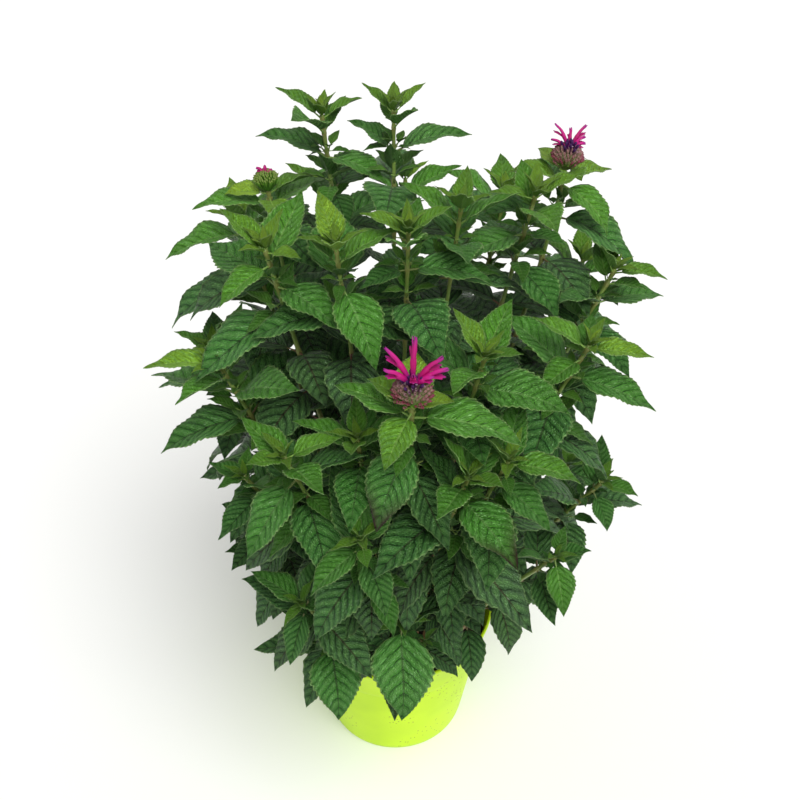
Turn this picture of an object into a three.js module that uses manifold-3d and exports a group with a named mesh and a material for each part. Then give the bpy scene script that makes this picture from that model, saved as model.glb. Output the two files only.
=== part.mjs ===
// A potted bee balm: leafy stems, three of them with a flower head, in a lime plastic nursery pot.
// Millimetres, +Z up, the origin at the middle of the pot's flat underside, the front towards -Y.
import * as THREE from 'three';
import { mergeVertices } from 'three/addons/utils/BufferGeometryUtils.js';
import Module from 'manifold-3d';

const wasm = await Module();
wasm.setup();
const DEGREE = Math.PI / 180;
const UP = new THREE.Vector3(0, 0, 1);

// Driving dimensions of the pot and the soil
const POT = {
  height: 134,
  rimRadius: 82.5,
  collarHeight: 34,
  collarRadius: 76.2,
  bodyTopRadius: 74.4,
  baseRadius: 61,
  wall: 1.4,
  rimWidth: 2.4,
  stepAbove: 0.8, // of the bore's step under the collar, from the collar's lower edge
  stepBelow: 1.8,
  floor: 2.4,
  drainHoles: 6,
  drainRadius: 5.5,
  sides: 32,
};
const SOIL = { level: 119, gap: 0.3, mound: 4, holeGap: 0.35 };

// Driving dimensions of a stalk: the mint family has square ones
const STALK = {
  halfBase: 2.1,
  halfTip: 1.05,
  sunk: 20,
  halfNode: 1.2,
  longestStep: 75,
  rootReach: 57,
  lean: 0.9, // of its tip, as a share of how far the whole stalk leans
  headLean: 0.3, // a flower head is held more upright
};

// Driving dimensions of a leaf
const LEAF = {
  halfThickness: 0.75, // at the rib, from which the blade thins to its margin
  petioleHalfWidth: 0.9,
  petioleHalfThickness: 0.8,
  petioleShare: 0.12,
  shortestPetiole: 5.5,
  ribStation: 0.42,
  toothDepth: 0.15, // of the half width
  fold: 17 * DEGREE, // how far the halves rise from the rib
  youngFold: 24 * DEGREE,
  leastLift: 36, // degrees from the stalk
  leastOutwards: 0.12, // so that it droops away from its own stalk
  leastFacing: 0.5, // so that its petiole leaves the stalk's side clear
};

// One row for each leaf pair, from the growing tip down: distance from the tip, length as a share of the
// stem's longest leaf, half width over length, angle from the stalk, droop over the leaf, teeth on a side
const PAIRS = [
  { down: 3, size: 0.52, wide: 0.25, lift: 40, droop: 10, teeth: 1 },
  { down: 12, size: 0.74, wide: 0.26, lift: 54, droop: 16, teeth: 2 },
  { down: 28, size: 0.94, wide: 0.27, lift: 64, droop: 26, teeth: 2 },
  { down: 51, size: 1, wide: 0.28, lift: 74, droop: 38, teeth: 2 },
  { down: 81, size: 1.06, wide: 0.28, lift: 80, droop: 48, teeth: 2 },
];

// The same under a flower head, whose uppermost pairs are broad bracts
const HEAD_PAIRS = [
  { down: 2.5, size: 0.42, wide: 0.34, lift: 68, droop: 12, teeth: 1 },
  { down: 6, size: 0.5, wide: 0.34, lift: 76, droop: 18, teeth: 1 },
  { down: 11, size: 0.66, wide: 0.27, lift: 78, droop: 30, teeth: 2 },
  { down: 34, size: 0.86, wide: 0.25, lift: 72, droop: 44, teeth: 2 },
  { down: 62, size: 1, wide: 0.26, lift: 78, droop: 54, teeth: 2 },
];

function rowsOf(stem) {
  return stem.head ? HEAD_PAIRS : PAIRS;
}

// The stems: name, tip [x, y, z], turn of the first leaf pair in degrees, number of pairs, longest leaf
const STEMS = [
  { name: 'tall_left', tip: [-46, 58, 540], turn: 44, pairs: 4, leaf: 68 },
  { name: 'tall_middle', tip: [0, 52, 546], turn: 93, pairs: 4, leaf: 66 },
  { name: 'tall_right', tip: [90, 22, 502], turn: 178, pairs: 4, leaf: 71 },
  { name: 'head_left', tip: [-82, 40, 496], turn: 40, pairs: 4, leaf: 75, head: 'bud' },
  { name: 'head_right', tip: [112, 52, 505], turn: 88, pairs: 4, leaf: 70, head: 'open' },
  { name: 'head_front', tip: [11, -112, 441], turn: 63, pairs: 5, leaf: 75, head: 'full' },
  { name: 'bright_left', tip: [-78, -24, 490], turn: 124, pairs: 4, leaf: 75 },
  { name: 'bright_inner', tip: [-34, -36, 498], turn: 47, pairs: 4, leaf: 68 },
  { name: 'bright_middle', tip: [9, -30, 506], turn: 79, pairs: 4, leaf: 68 },
  { name: 'small_middle', tip: [42, 6, 502], turn: 80, pairs: 4, leaf: 62 },
  { name: 'star_right', tip: [121, -52, 438], turn: 5, pairs: 5, leaf: 66 },
  { name: 'centre_right', tip: [54, -80, 450], turn: 24, pairs: 5, leaf: 66 },
  { name: 'front_left', tip: [-65, -112, 400], turn: 152, pairs: 5, leaf: 60 },
  { name: 'front_inner', tip: [-22, -98, 402], turn: 15, pairs: 4, leaf: 62 },
  { name: 'low_front', tip: [-20, -140, 358], turn: 35, pairs: 5, leaf: 64 },
  { name: 'front_right', tip: [68, -118, 402], turn: 44, pairs: 5, leaf: 64 },
  { name: 'low_middle', tip: [44, -126, 396], turn: 26, pairs: 5, leaf: 66 },
  { name: 'low_right', tip: [106, -112, 312], turn: 150, pairs: 3, leaf: 46 },
  { name: 'side_right', tip: [146, -46, 316], turn: 20, pairs: 4, leaf: 56 },
  { name: 'edge_right', tip: [146, 14, 452], turn: 17, pairs: 5, leaf: 55 },
  { name: 'edge_left', tip: [-112, -42, 416], turn: 125, pairs: 5, leaf: 68 },
  { name: 'low_left', tip: [-62, -122, 276], turn: 84, pairs: 4, leaf: 62 },
  { name: 'side_left', tip: [-98, -78, 352], turn: 10, pairs: 4, leaf: 47 },
  { name: 'back_left', tip: [-112, 88, 448], turn: 141, pairs: 5, leaf: 75 },
  { name: 'back_inner', tip: [-50, 124, 452], turn: 66, pairs: 4, leaf: 75 },
  { name: 'back_middle', tip: [8, 132, 458], turn: 12, pairs: 4, leaf: 60 },
  { name: 'back_right', tip: [82, 118, 452], turn: 50, pairs: 5, leaf: 75 },
  { name: 'back_edge', tip: [138, 78, 420], turn: 74, pairs: 5, leaf: 68 },
  { name: 'low_back_edge', tip: [-132, 34, 372], turn: 0, pairs: 5, leaf: 62 },
  { name: 'low_back_left', tip: [-96, 116, 318], turn: 58, pairs: 4, leaf: 75 },
  { name: 'low_back', tip: [2, 148, 330], turn: 28, pairs: 4, leaf: 75 },
  { name: 'low_back_right', tip: [100, 116, 316], turn: 81, pairs: 4, leaf: 75 },
  { name: 'skirt_left', tip: [-106, -36, 270], turn: 28, pairs: 4, leaf: 48 },
  { name: 'skirt_back_left', tip: [-116, 68, 254], turn: 44, pairs: 4, leaf: 68 },
  { name: 'skirt_right', tip: [138, 30, 262], turn: 62, pairs: 4, leaf: 60 },
  { name: 'skirt_front', tip: [5, -108, 240], turn: 10, pairs: 3, leaf: 70 },
  { name: 'rim_left', tip: [-46, -106, 216], turn: 20, pairs: 3, leaf: 75 },
  { name: 'rim_right', tip: [86, -22, 222], turn: 70, pairs: 2, leaf: 50 },
  { name: 'rim_back', tip: [44, 112, 222], turn: 35, pairs: 3, leaf: 75 },
  { name: 'rim_back_left', tip: [-62, 102, 214], turn: 80, pairs: 3, leaf: 75 },
  { name: 'rim_front', tip: [22, -104, 212], turn: 50, pairs: 2, leaf: 44 },
  { name: 'rim_side_left', tip: [-108, -10, 208], turn: 25, pairs: 2, leaf: 58 },
  { name: 'rim_side_right', tip: [104, -4, 204], turn: 65, pairs: 2, leaf: 60 },
  { name: 'rim_back_inner', tip: [-12, 114, 202], turn: 10, pairs: 2, leaf: 78 },
];

// The leaves that show most from the front, by the places of their tips. They grow before the others.
const SHOWN = [
  { stem: 'tall_left', pair: 0, tip: [-75, 65, 555], droop: 20, wide: 0.26 },
  { stem: 'tall_left', pair: 0, tip: [-20, 60, 550], droop: 20, wide: 0.26 },
  { stem: 'tall_left', pair: 1, tip: [-35, 70, 550], droop: 14, wide: 0.24 },
  { stem: 'tall_left', pair: 2, tip: [-90, 40, 515], droop: 40, wide: 0.27 },
  { stem: 'tall_left', pair: 2, tip: [-5, 30, 505], droop: 40, wide: 0.27 },
  { stem: 'tall_left', pair: 3, tip: [-30, 25, 475], droop: 50, wide: 0.3 },
  { stem: 'tall_middle', pair: 0, tip: [-20, 60, 560], droop: 8, wide: 0.24 },
  { stem: 'tall_middle', pair: 0, tip: [20, 60, 560], droop: 8, wide: 0.24 },
  { stem: 'tall_middle', pair: 1, tip: [15, 30, 555], droop: 20, wide: 0.26 },
  { stem: 'tall_middle', pair: 1, tip: [-5, 65, 555], droop: 10, wide: 0.24 },
  { stem: 'tall_middle', pair: 2, tip: [50, 50, 530], droop: 40, wide: 0.27 },
  { stem: 'tall_middle', pair: 2, tip: [-30, 60, 535], droop: 40, wide: 0.27 },
  { stem: 'tall_right', pair: 0, tip: [60, 20, 505], droop: 20, wide: 0.26 },
  { stem: 'tall_right', pair: 0, tip: [120, 25, 515], droop: 24, wide: 0.26 },
  { stem: 'tall_right', pair: 1, tip: [80, 45, 525], droop: 24, wide: 0.26 },
  { stem: 'tall_right', pair: 2, tip: [110, 5, 475], droop: 34, wide: 0.27 },
  { stem: 'tall_right', pair: 2, tip: [30, 5, 470], droop: 34, wide: 0.26 },
  { stem: 'tall_right', pair: 3, tip: [105, -20, 435], droop: 40, wide: 0.3 },
  { stem: 'head_right', pair: 2, tip: [140, 25, 470], droop: 60, wide: 0.27 },
  { stem: 'head_right', pair: 3, tip: [165, 30, 445], droop: 60, wide: 0.27 },
  { stem: 'edge_right', pair: 0, tip: [180, 10, 450], droop: 34, wide: 0.26 },
  { stem: 'edge_right', pair: 1, tip: [165, 0, 445], droop: 30, wide: 0.26 },
  { stem: 'star_right', pair: 0, tip: [85, -45, 455], droop: 16, wide: 0.27 },
  { stem: 'star_right', pair: 0, tip: [160, -60, 435], droop: 16, wide: 0.26 },
  { stem: 'star_right', pair: 1, tip: [140, -30, 465], droop: 20, wide: 0.3 },
  { stem: 'star_right', pair: 1, tip: [90, -75, 420], droop: 20, wide: 0.3 },
  { stem: 'star_right', pair: 2, tip: [165, -70, 400], droop: 26, wide: 0.27 },
  { stem: 'centre_right', pair: 0, tip: [35, -65, 475], droop: 18, wide: 0.25 },
  { stem: 'centre_right', pair: 0, tip: [75, -90, 460], droop: 24, wide: 0.26 },
  { stem: 'centre_right', pair: 1, tip: [80, -55, 470], droop: 24, wide: 0.28 },
  { stem: 'head_front', pair: 0, tip: [-15, -100, 450], droop: 14, wide: 0.36 },
  { stem: 'head_front', pair: 0, tip: [35, -115, 445], droop: 14, wide: 0.34 },
  { stem: 'head_front', pair: 1, tip: [30, -80, 455], droop: 16, wide: 0.32 },
  { stem: 'head_front', pair: 1, tip: [-5, -140, 415], droop: 20, wide: 0.33 },
  { stem: 'head_front', pair: 2, tip: [75, -125, 420], droop: 40, wide: 0.26 },
  { stem: 'head_front', pair: 3, tip: [-10, -145, 370], droop: 36, wide: 0.3 },
  { stem: 'head_front', pair: 4, tip: [75, -145, 340], droop: 30, wide: 0.26 },
  { stem: 'front_left', pair: 0, tip: [-30, -105, 410], droop: 24, wide: 0.26 },
  { stem: 'front_left', pair: 2, tip: [-90, -140, 340], droop: 30, wide: 0.26 },
  { stem: 'edge_left', pair: 0, tip: [-160, -45, 415], droop: 44, wide: 0.22 },
  { stem: 'edge_left', pair: 3, tip: [-155, -60, 355], droop: 34, wide: 0.27 },
  { stem: 'bright_left', pair: 0, tip: [-105, -10, 510], droop: 16, wide: 0.27 },
  { stem: 'bright_left', pair: 0, tip: [-55, -35, 490], droop: 20, wide: 0.28 },
  { stem: 'bright_left', pair: 1, tip: [-45, 0, 515], droop: 20, wide: 0.29 },
  { stem: 'bright_left', pair: 1, tip: [-105, -50, 465], droop: 30, wide: 0.28 },
  { stem: 'bright_left', pair: 2, tip: [-20, -45, 455], droop: 34, wide: 0.26 },
  { stem: 'bright_left', pair: 3, tip: [-125, -60, 415], droop: 40, wide: 0.28 },
  { stem: 'bright_inner', pair: 0, tip: [-45, -15, 525], droop: 16, wide: 0.27 },
  { stem: 'bright_inner', pair: 1, tip: [5, -25, 505], droop: 30, wide: 0.27 },
  { stem: 'bright_inner', pair: 1, tip: [-55, -30, 505], droop: 20, wide: 0.27 },
  { stem: 'bright_inner', pair: 2, tip: [-10, -80, 440], droop: 34, wide: 0.27 },
  { stem: 'bright_inner', pair: 3, tip: [25, -50, 440], droop: 34, wide: 0.27 },
  { stem: 'bright_middle', pair: 0, tip: [35, -25, 520], droop: 20, wide: 0.27 },
  { stem: 'bright_middle', pair: 0, tip: [-20, -25, 515], droop: 20, wide: 0.27 },
  { stem: 'bright_middle', pair: 1, tip: [5, -10, 520], droop: 12, wide: 0.27 },
  { stem: 'bright_middle', pair: 2, tip: [-20, -45, 475], droop: 34, wide: 0.3 },
  { stem: 'bright_middle', pair: 2, tip: [60, -40, 475], droop: 40, wide: 0.3 },
  { stem: 'head_left', pair: 2, tip: [-130, 25, 490], droop: 44, wide: 0.26 },
  { stem: 'back_left', pair: 1, tip: [-165, 70, 425], droop: 40, wide: 0.27 },
  { stem: 'back_left', pair: 3, tip: [-165, 55, 375], droop: 70, wide: 0.24 },
  { stem: 'low_front', pair: 0, tip: [-30, -130, 375], droop: 10, wide: 0.25 },
  { stem: 'low_front', pair: 0, tip: [-15, -155, 350], droop: 10, wide: 0.3 },
  { stem: 'low_front', pair: 1, tip: [-50, -160, 330], droop: 16, wide: 0.27 },
  { stem: 'low_front', pair: 2, tip: [-5, -160, 310], droop: 24, wide: 0.27 },
  { stem: 'low_front', pair: 3, tip: [-50, -155, 280], droop: 30, wide: 0.3 },
  { stem: 'low_front', pair: 4, tip: [-15, -140, 260], droop: 30, wide: 0.36 },
  { stem: 'low_left', pair: 0, tip: [-95, -110, 295], droop: 30, wide: 0.27 },
  { stem: 'low_left', pair: 1, tip: [-70, -145, 240], droop: 40, wide: 0.25 },
  { stem: 'low_left', pair: 2, tip: [-15, -145, 225], droop: 30, wide: 0.29 },
  { stem: 'low_left', pair: 3, tip: [-85, -125, 205], droop: 44, wide: 0.28 },
  { stem: 'rim_left', pair: 0, tip: [-40, -145, 175], droop: 34, wide: 0.36 },
  { stem: 'rim_left', pair: 2, tip: [-50, -130, 170], droop: 34, wide: 0.28 },
  { stem: 'skirt_front', pair: 0, tip: [5, -155, 190], droop: 30, wide: 0.36 },
  { stem: 'low_middle', pair: 4, tip: [90, -145, 275], droop: 24, wide: 0.26 },
  { stem: 'front_right', pair: 0, tip: [110, -130, 395], droop: 30, wide: 0.26 },
  { stem: 'front_right', pair: 1, tip: [70, -130, 385], droop: 30, wide: 0.27 },
  { stem: 'front_right', pair: 2, tip: [95, -135, 360], droop: 40, wide: 0.28 },
  { stem: 'side_right', pair: 0, tip: [170, -55, 310], droop: 20, wide: 0.3 },
  { stem: 'side_right', pair: 1, tip: [150, -65, 285], droop: 30, wide: 0.3 },
  { stem: 'low_right', pair: 0, tip: [110, -140, 285], droop: 30, wide: 0.28 },
  { stem: 'low_right', pair: 1, tip: [130, -110, 310], droop: 24, wide: 0.3 },
];

// The flower heads: a dome of calyxes on its neck, and room round it that the other stems leave free
const HEAD = {
  gap: 0.3,
  neckRadius: 3.2,
  domeRadius: 8,
  domeHeight: 12,
  crownRadius: 4,
  room: 22,
  calyxCentre: 7,
  calyxRows: [
    { polar: 82, count: 8 },
    { polar: 56, count: 7 },
  ],
  calyxReach: 12.4,
  calyxRadius: 2.1,
};

// The heads by kind: their size as a share of the full one, and the florets that are open, each a curved
// tube with two lips, as [angle round the stalk from the front, angle from upright, length]
const KINDS = {
  full: {
    size: 1,
    florets: [
      [-100, 40, 21],
      [-132, 32, 28],
      [174, 12, 30],
      [109, 34, 25],
      [88, 44, 24],
      [80, 40, 15],
      [-5, 12, 17],
    ],
  },
  open: {
    size: 0.9,
    florets: [
      [120, 27, 20],
      [62, 31, 16],
      [10, 24, 20],
      [-10, 34, 14],
      [-20, 50, 12],
      [140, 54, 14],
    ],
  },
  bud: {
    size: 0.72,
    florets: [
      [15, 36, 11],
      [-60, 20, 9],
      [-130, 50, 8],
    ],
  },
};

// What is tried, in turn, until a leaf stands clear of its neighbours: shorter, lifted, swung aside
const SHRINKS = [1, 0.88, 0.76, 0.64, 0.5];
const LIFTS = [0, -9, 9, -18, 18, -28];
const SWINGS = [0, 9, -9, 18, -18, 28, -28];
const CLEARANCE = 1.6;

// A repeatable draw, the same for the same seed
function drawer(seed) {
  let state = seed * 7919 + 17;
  return (low, high) => {
    state = (state * 16807) % 2147483647;
    return low + ((high - low) * state) / 2147483647;
  };
}

// Solids from three.js geometry, and back
function solidOf(geometry) {
  const bare = geometry.clone();
  bare.deleteAttribute('normal');
  bare.deleteAttribute('uv');
  const merged = mergeVertices(bare, 1e-4);
  const mesh = new wasm.Mesh({
    numProp: 3,
    vertProperties: merged.attributes.position.array,
    triVerts: new Uint32Array(merged.index.array),
  });
  return new wasm.Manifold(mesh);
}

function geometryOf(solid) {
  const mesh = solid.getMesh();
  const geometry = new THREE.BufferGeometry();
  geometry.setAttribute('position', new THREE.BufferAttribute(mesh.vertProperties, 3));
  geometry.setIndex(new THREE.BufferAttribute(mesh.triVerts, 1));
  return geometry;
}

function geometryFrom(points, faces) {
  const geometry = new THREE.BufferGeometry();
  geometry.setAttribute('position', new THREE.Float32BufferAttribute(points.flatMap((p) => p.toArray()), 3));
  geometry.setIndex(faces.flat());
  return geometry;
}

// A closed skin through rings of points, each ring turning left round the way onwards
function loft(rings) {
  const count = rings[0].length;
  const faces = [];
  for (let k = 0; k + 1 < rings.length; k += 1) {
    for (let i = 0; i < count; i += 1) {
      const j = (i + 1) % count;
      const [a, b, c, d] = [k * count + i, k * count + j, (k + 1) * count + j, (k + 1) * count + i];
      faces.push([a, b, c], [a, c, d]);
    }
  }
  const top = (rings.length - 1) * count;
  for (let i = 1; i + 1 < count; i += 1) faces.push([0, i + 1, i], [top, top + i, top + i + 1]);
  return geometryFrom(rings.flat(), faces);
}

// Four corners round a point, half and other half being the section's half sides
function squareRing(point, first, second, half, otherHalf = half) {
  const corners = [
    [1, 1],
    [-1, 1],
    [-1, -1],
    [1, -1],
  ];
  return corners.map(([a, b]) =>
    point.clone().addScaledVector(first, a * half).addScaledVector(second, b * otherHalf),
  );
}

// A stem's stalk lies in the upright plane through its root and its tip
function stalkOf(stem) {
  const tip = new THREE.Vector3(...stem.tip);
  const reach = Math.hypot(tip.x, tip.y);
  const heading = new THREE.Vector3(tip.x, tip.y, 0).normalize();
  const low = THREE.MathUtils.clamp((460 - tip.z) / 180, 0, 1);
  const rootReach = Math.min(reach * (0.27 + 0.14 * low), STALK.rootReach);
  const root = heading.clone().multiplyScalar(rootReach).setZ(SOIL.level - STALK.sunk);
  const rise = tip.z - root.z;
  const lean = Math.min(0.62, reach / rise) * (stem.head ? STALK.headLean : STALK.lean);
  const tipWay = UP.clone().addScaledVector(heading, lean).normalize();
  const knee = root.clone().addScaledVector(UP, rise * 0.42).addScaledVector(heading, reach * 0.12);
  const neck = tip.clone().addScaledVector(tipWay, -rise * 0.3);
  const curve = new THREE.CubicBezierCurve3(root, knee, neck, tip);
  const steps = 48;
  const line = Array.from({ length: steps + 1 }, (_, i) => curve.getPoint(i / steps));
  const lengths = [0];
  for (let i = 1; i <= steps; i += 1) lengths.push(lengths[i - 1] + line[i].distanceTo(line[i - 1]));
  const box = new THREE.Box3().setFromPoints(line).expandByScalar(2 * STALK.halfBase);
  const side = new THREE.Vector3().crossVectors(UP, heading);
  return { line, lengths, total: lengths[steps], side, turn: stem.turn * DEGREE, box };
}

// The place and direction on a stalk at a distance along it from the root
function placeOn(stalk, along) {
  const s = THREE.MathUtils.clamp(along, 0, stalk.total);
  let i = 1;
  while (i < stalk.lengths.length - 1 && stalk.lengths[i] < s) i += 1;
  const share = (s - stalk.lengths[i - 1]) / (stalk.lengths[i] - stalk.lengths[i - 1]);
  const point = stalk.line[i - 1].clone().lerp(stalk.line[i], share);
  const way = stalk.line[i].clone().sub(stalk.line[i - 1]).normalize();
  const front = new THREE.Vector3().crossVectors(stalk.side, way);
  const first = front.clone().applyAxisAngle(way, stalk.turn);
  return { point, way, first, second: new THREE.Vector3().crossVectors(way, first) };
}

// The stalk's square section, a side towards each leaf of the pairs, thinner towards the tip
function sectionAt(stalk, along) {
  const at = placeOn(stalk, along);
  const share = THREE.MathUtils.clamp(along / stalk.total, 0, 1);
  const half = THREE.MathUtils.lerp(STALK.halfBase, STALK.halfTip, share);
  return squareRing(at.point, at.first, at.second, half);
}

// The half width of a blade over its widest, at t from 0 at its base to 1 at its tip
function bladeWidth(t) {
  return Math.sin(Math.PI * t ** 0.62) * (1 - 0.28 * t * t) * 1.028;
}

// A leaf's rib droops in an upright plane: its place, side and face at u from 0 to 1
function ribAt(leaf, u) {
  const bend = leaf.rise - leaf.droop * u;
  const across = new THREE.Vector3().crossVectors(UP, leaf.heading);
  const run = (leaf.length * (Math.sin(leaf.rise) - Math.sin(bend))) / leaf.droop;
  const climb = (leaf.length * (Math.cos(bend) - Math.cos(leaf.rise))) / leaf.droop;
  const point = leaf.base.clone().addScaledVector(leaf.heading, run).addScaledVector(UP, climb);
  const upright = UP.clone().multiplyScalar(Math.cos(bend)).addScaledVector(leaf.heading, -Math.sin(bend));
  const twist = leaf.twist * u;
  const side = across.clone().multiplyScalar(Math.cos(twist)).addScaledVector(upright, Math.sin(twist));
  const face = upright.clone().multiplyScalar(Math.cos(twist)).addScaledVector(across, -Math.sin(twist));
  return { point, side, face };
}

// The same on the blade alone, past the petiole
function bladeAt(leaf, t) {
  return ribAt(leaf, leaf.petiole + (1 - leaf.petiole) * t);
}

function marginAt(leaf, t, hand, share) {
  const at = bladeAt(leaf, t);
  const wide = leaf.width * bladeWidth(t) * share;
  return at.point
    .addScaledVector(at.side, hand * wide * Math.cos(leaf.fold))
    .addScaledVector(at.face, wide * Math.sin(leaf.fold));
}

// The margin's corners on one side, as [t, share of the width]: the teeth point towards the tip
function marginCorners(teeth) {
  const corners = [[0.07, 0.92]];
  for (let i = 0; i < teeth; i += 1) {
    const t = 0.12 + (0.74 * (i + 0.8)) / teeth;
    corners.push([t, 1.04]);
    if (i + 1 < teeth) corners.push([t + 0.03, 1 - LEAF.toothDepth]);
  }
  return corners;
}

// Triangles between the rib and the margin, both lists of { t, id } that end at the shared tip
function stripFaces(rib, margin) {
  const faces = [];
  let [i, j] = [0, 0];
  while (i < rib.length - 1 || j < margin.length - 1) {
    const ribNext = i < rib.length - 1 ? rib[i + 1].t : Infinity;
    const marginNext = j < margin.length - 1 ? margin[j + 1].t : Infinity;
    if (ribNext <= marginNext) {
      faces.push([rib[i].id, margin[j].id, rib[i + 1].id]);
      i += 1;
    } else {
      faces.push([rib[i].id, margin[j].id, margin[j + 1].id]);
      j += 1;
    }
  }
  return faces.filter(([a, b, c]) => a !== b && b !== c && a !== c);
}

// A leaf's skin, added to a stem's: the petiole goes out from a side of the stalk, given by its four
// corners, and narrows to three edges, and the blade is a lens whose two faces share the cut margin
function addLeaf(skin, leaf, corners) {
  const [lowRight, lowLeft, topLeft, topRight] = corners;
  const add = (point, t) => {
    skin.points.push(point);
    return { t, id: skin.points.length - 1 };
  };
  const at = bladeAt(leaf, 0);
  const onwards = new THREE.Vector3().crossVectors(at.side, at.face);
  const foot = skin.points[lowLeft].clone().sub(skin.points[lowRight]).normalize();
  const side = foot.add(at.side).normalize();
  const face = new THREE.Vector3().crossVectors(onwards, side).normalize();
  const [leftEdge, rightEdge] = [1, -1].map((hand) =>
    add(at.point.clone().addScaledVector(side, hand * LEAF.petioleHalfWidth), 0),
  );
  const keel = add(at.point.clone().addScaledVector(face, -LEAF.petioleHalfThickness), 0);
  const [nl, nr, nk] = [leftEdge.id, rightEdge.id, keel.id];
  const middle = bladeAt(leaf, LEAF.ribStation);
  const [upper, lower] = [1, -1].map((side) =>
    add(middle.point.clone().addScaledVector(middle.face, side * LEAF.halfThickness), LEAF.ribStation),
  );
  const tip = add(ribAt(leaf, 1).point, 1);
  const [left, right] = [1, -1].map((hand) => [
    hand > 0 ? leftEdge : rightEdge,
    ...marginCorners(leaf.teeth).map(([t, share]) => add(marginAt(leaf, t, hand, share), t)),
    tip,
  ]);
  const turned = (faces) => faces.map(([a, b, c]) => [a, c, b]);
  skin.faces.push([lowRight, lowLeft, nk], [lowLeft, topLeft, nl], [lowLeft, nl, nk]);
  skin.faces.push([topLeft, topRight, nr], [topLeft, nr, nl], [topRight, lowRight, nk], [topRight, nk, nr]);
  skin.faces.push([nl, nr, upper.id]);
  skin.faces.push(...turned(stripFaces([upper, tip], left)), ...stripFaces([upper, tip], right));
  skin.faces.push([nk, nl, lower.id], [nk, lower.id, nr]);
  skin.faces.push(...stripFaces([lower, tip], left), ...turned(stripFaces([lower, tip], right)));
}

// The distances along a stalk of its sections: two for each leaf pair, and more where it is long and bare
function sectionStops(stem) {
  const stops = [{ along: 0 }];
  const rows = rowsOf(stem).slice(0, stem.pairs);
  for (const [pair, row] of [...rows.entries()].reverse()) {
    const node = stem.stalk.total - row.down;
    const last = stops[stops.length - 1].along;
    const between = Math.floor((node - last) / STALK.longestStep);
    for (let i = 1; i <= between; i += 1) stops.push({ along: last + ((node - last) * i) / (between + 1) });
    stops.push({ along: node - STALK.halfNode, pair }, { along: node + STALK.halfNode });
  }
  return [...stops, { along: stem.stalk.total }];
}

// A stem: its stalk, with each leaf grown out of a side of it, in one skin
function stemGeometry(stem) {
  const stops = sectionStops(stem);
  const skin = { points: stops.flatMap((stop) => sectionAt(stem.stalk, stop.along)), faces: [] };
  stops.slice(0, -1).forEach((stop, k) => {
    for (let i = 0; i < 4; i += 1) {
      const j = (i + 1) % 4;
      const corners = [4 * k + i, 4 * k + j, 4 * (k + 1) + j, 4 * (k + 1) + i];
      const leaf = stem.leaves.find((one) => one.pair === stop.pair && (one.pair + 2 * one.hand) % 4 === j);
      if (leaf) {
        addLeaf(skin, leaf, corners);
      } else {
        const [a, b, c, d] = corners;
        skin.faces.push([a, b, c], [a, c, d]);
      }
    }
  });
  const top = 4 * (stops.length - 1);
  skin.faces.push([0, 2, 1], [0, 3, 2], [top, top + 1, top + 2], [top, top + 2, top + 3]);
  return geometryFrom(skin.points, skin.faces);
}

// A triangle with the box it fills, which rules most pairs out
function patch(corners) {
  return { corners, box: new THREE.Box3().setFromPoints(corners) };
}

// A leaf's middle surface as patches, through the given places on its rib and its margins, shifted along
// its face. The first patches of each half, by the petiole, are marked as its foot.
function middleSurface(leaf, ribStops, marginStops, off) {
  const rib = ribStops.map((t) => {
    const at = t < 0 ? ribAt(leaf, leaf.petiole / 2) : bladeAt(leaf, t);
    return { t, point: at.point.addScaledVector(at.face, off) };
  });
  const patches = [];
  for (const hand of [1, -1]) {
    const margin = marginStops.map(([t, share]) => {
      const point = marginAt(leaf, t, hand, share).addScaledVector(bladeAt(leaf, t).face, off);
      return { t, point };
    });
    const all = [...rib, ...margin, rib[rib.length - 1]].map((one, id) => ({ ...one, id }));
    const [ribLine, marginLine] = [all.slice(0, rib.length), all.slice(rib.length)];
    stripFaces(ribLine, marginLine).forEach((face, i) => {
      const one = patch(face.map((id) => all[id].point));
      if (one.corners.some((c, k) => c.equals(one.corners[(k + 1) % 3]))) return;
      patches.push({ ...one, foot: i < 2 });
    });
  }
  return patches;
}

// What a leaf is tested with: its surface as it grows, flat and a clearance above and below, and as modelled
function leafSheets(leaf) {
  const smooth = [0.12, 0.3, 0.5, 0.72, 0.9];
  const ribStops = [-1, 0, ...smooth, 1];
  const marginStops = smooth.map((t) => [t, 1.05]);
  const facetRib = [LEAF.ribStation, 1];
  const facetMargin = [[0, 0], ...marginCorners(leaf.teeth)];
  const [own, below, above] = [0, -CLEARANCE, CLEARANCE].map((off) => [
    ...middleSurface(leaf, ribStops, marginStops, off),
    ...middleSurface(leaf, facetRib, facetMargin, off),
  ]);
  const box = new THREE.Box3();
  for (const one of own) box.union(one.box);
  box.expandByScalar(CLEARANCE + 0.5);
  return { own, reach: [...own, ...below, ...above], box, corners: own.flatMap((one) => one.corners) };
}

// Whether the stretch from p to q goes through the triangle a, b, c
function pierces(p, q, [a, b, c]) {
  const way = q.clone().sub(p);
  const [first, second] = [b.clone().sub(a), c.clone().sub(a)];
  const normal = new THREE.Vector3().crossVectors(way, second);
  const scale = first.dot(normal);
  if (Math.abs(scale) < 1e-9) return false;
  const offset = p.clone().sub(a);
  const u = offset.dot(normal) / scale;
  if (u < 0 || u > 1) return false;
  const turned = offset.cross(first);
  const v = way.dot(turned) / scale;
  const share = second.dot(turned) / scale;
  return v >= 0 && u + v <= 1 && share >= 0 && share <= 1;
}

function patchesCross(first, second) {
  if (!first.box.intersectsBox(second.box)) return false;
  const [a, b] = [first.corners, second.corners];
  return [0, 1, 2].some((i) => pierces(a[i], a[(i + 1) % 3], b) || pierces(b[i], b[(i + 1) % 3], a));
}

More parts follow.
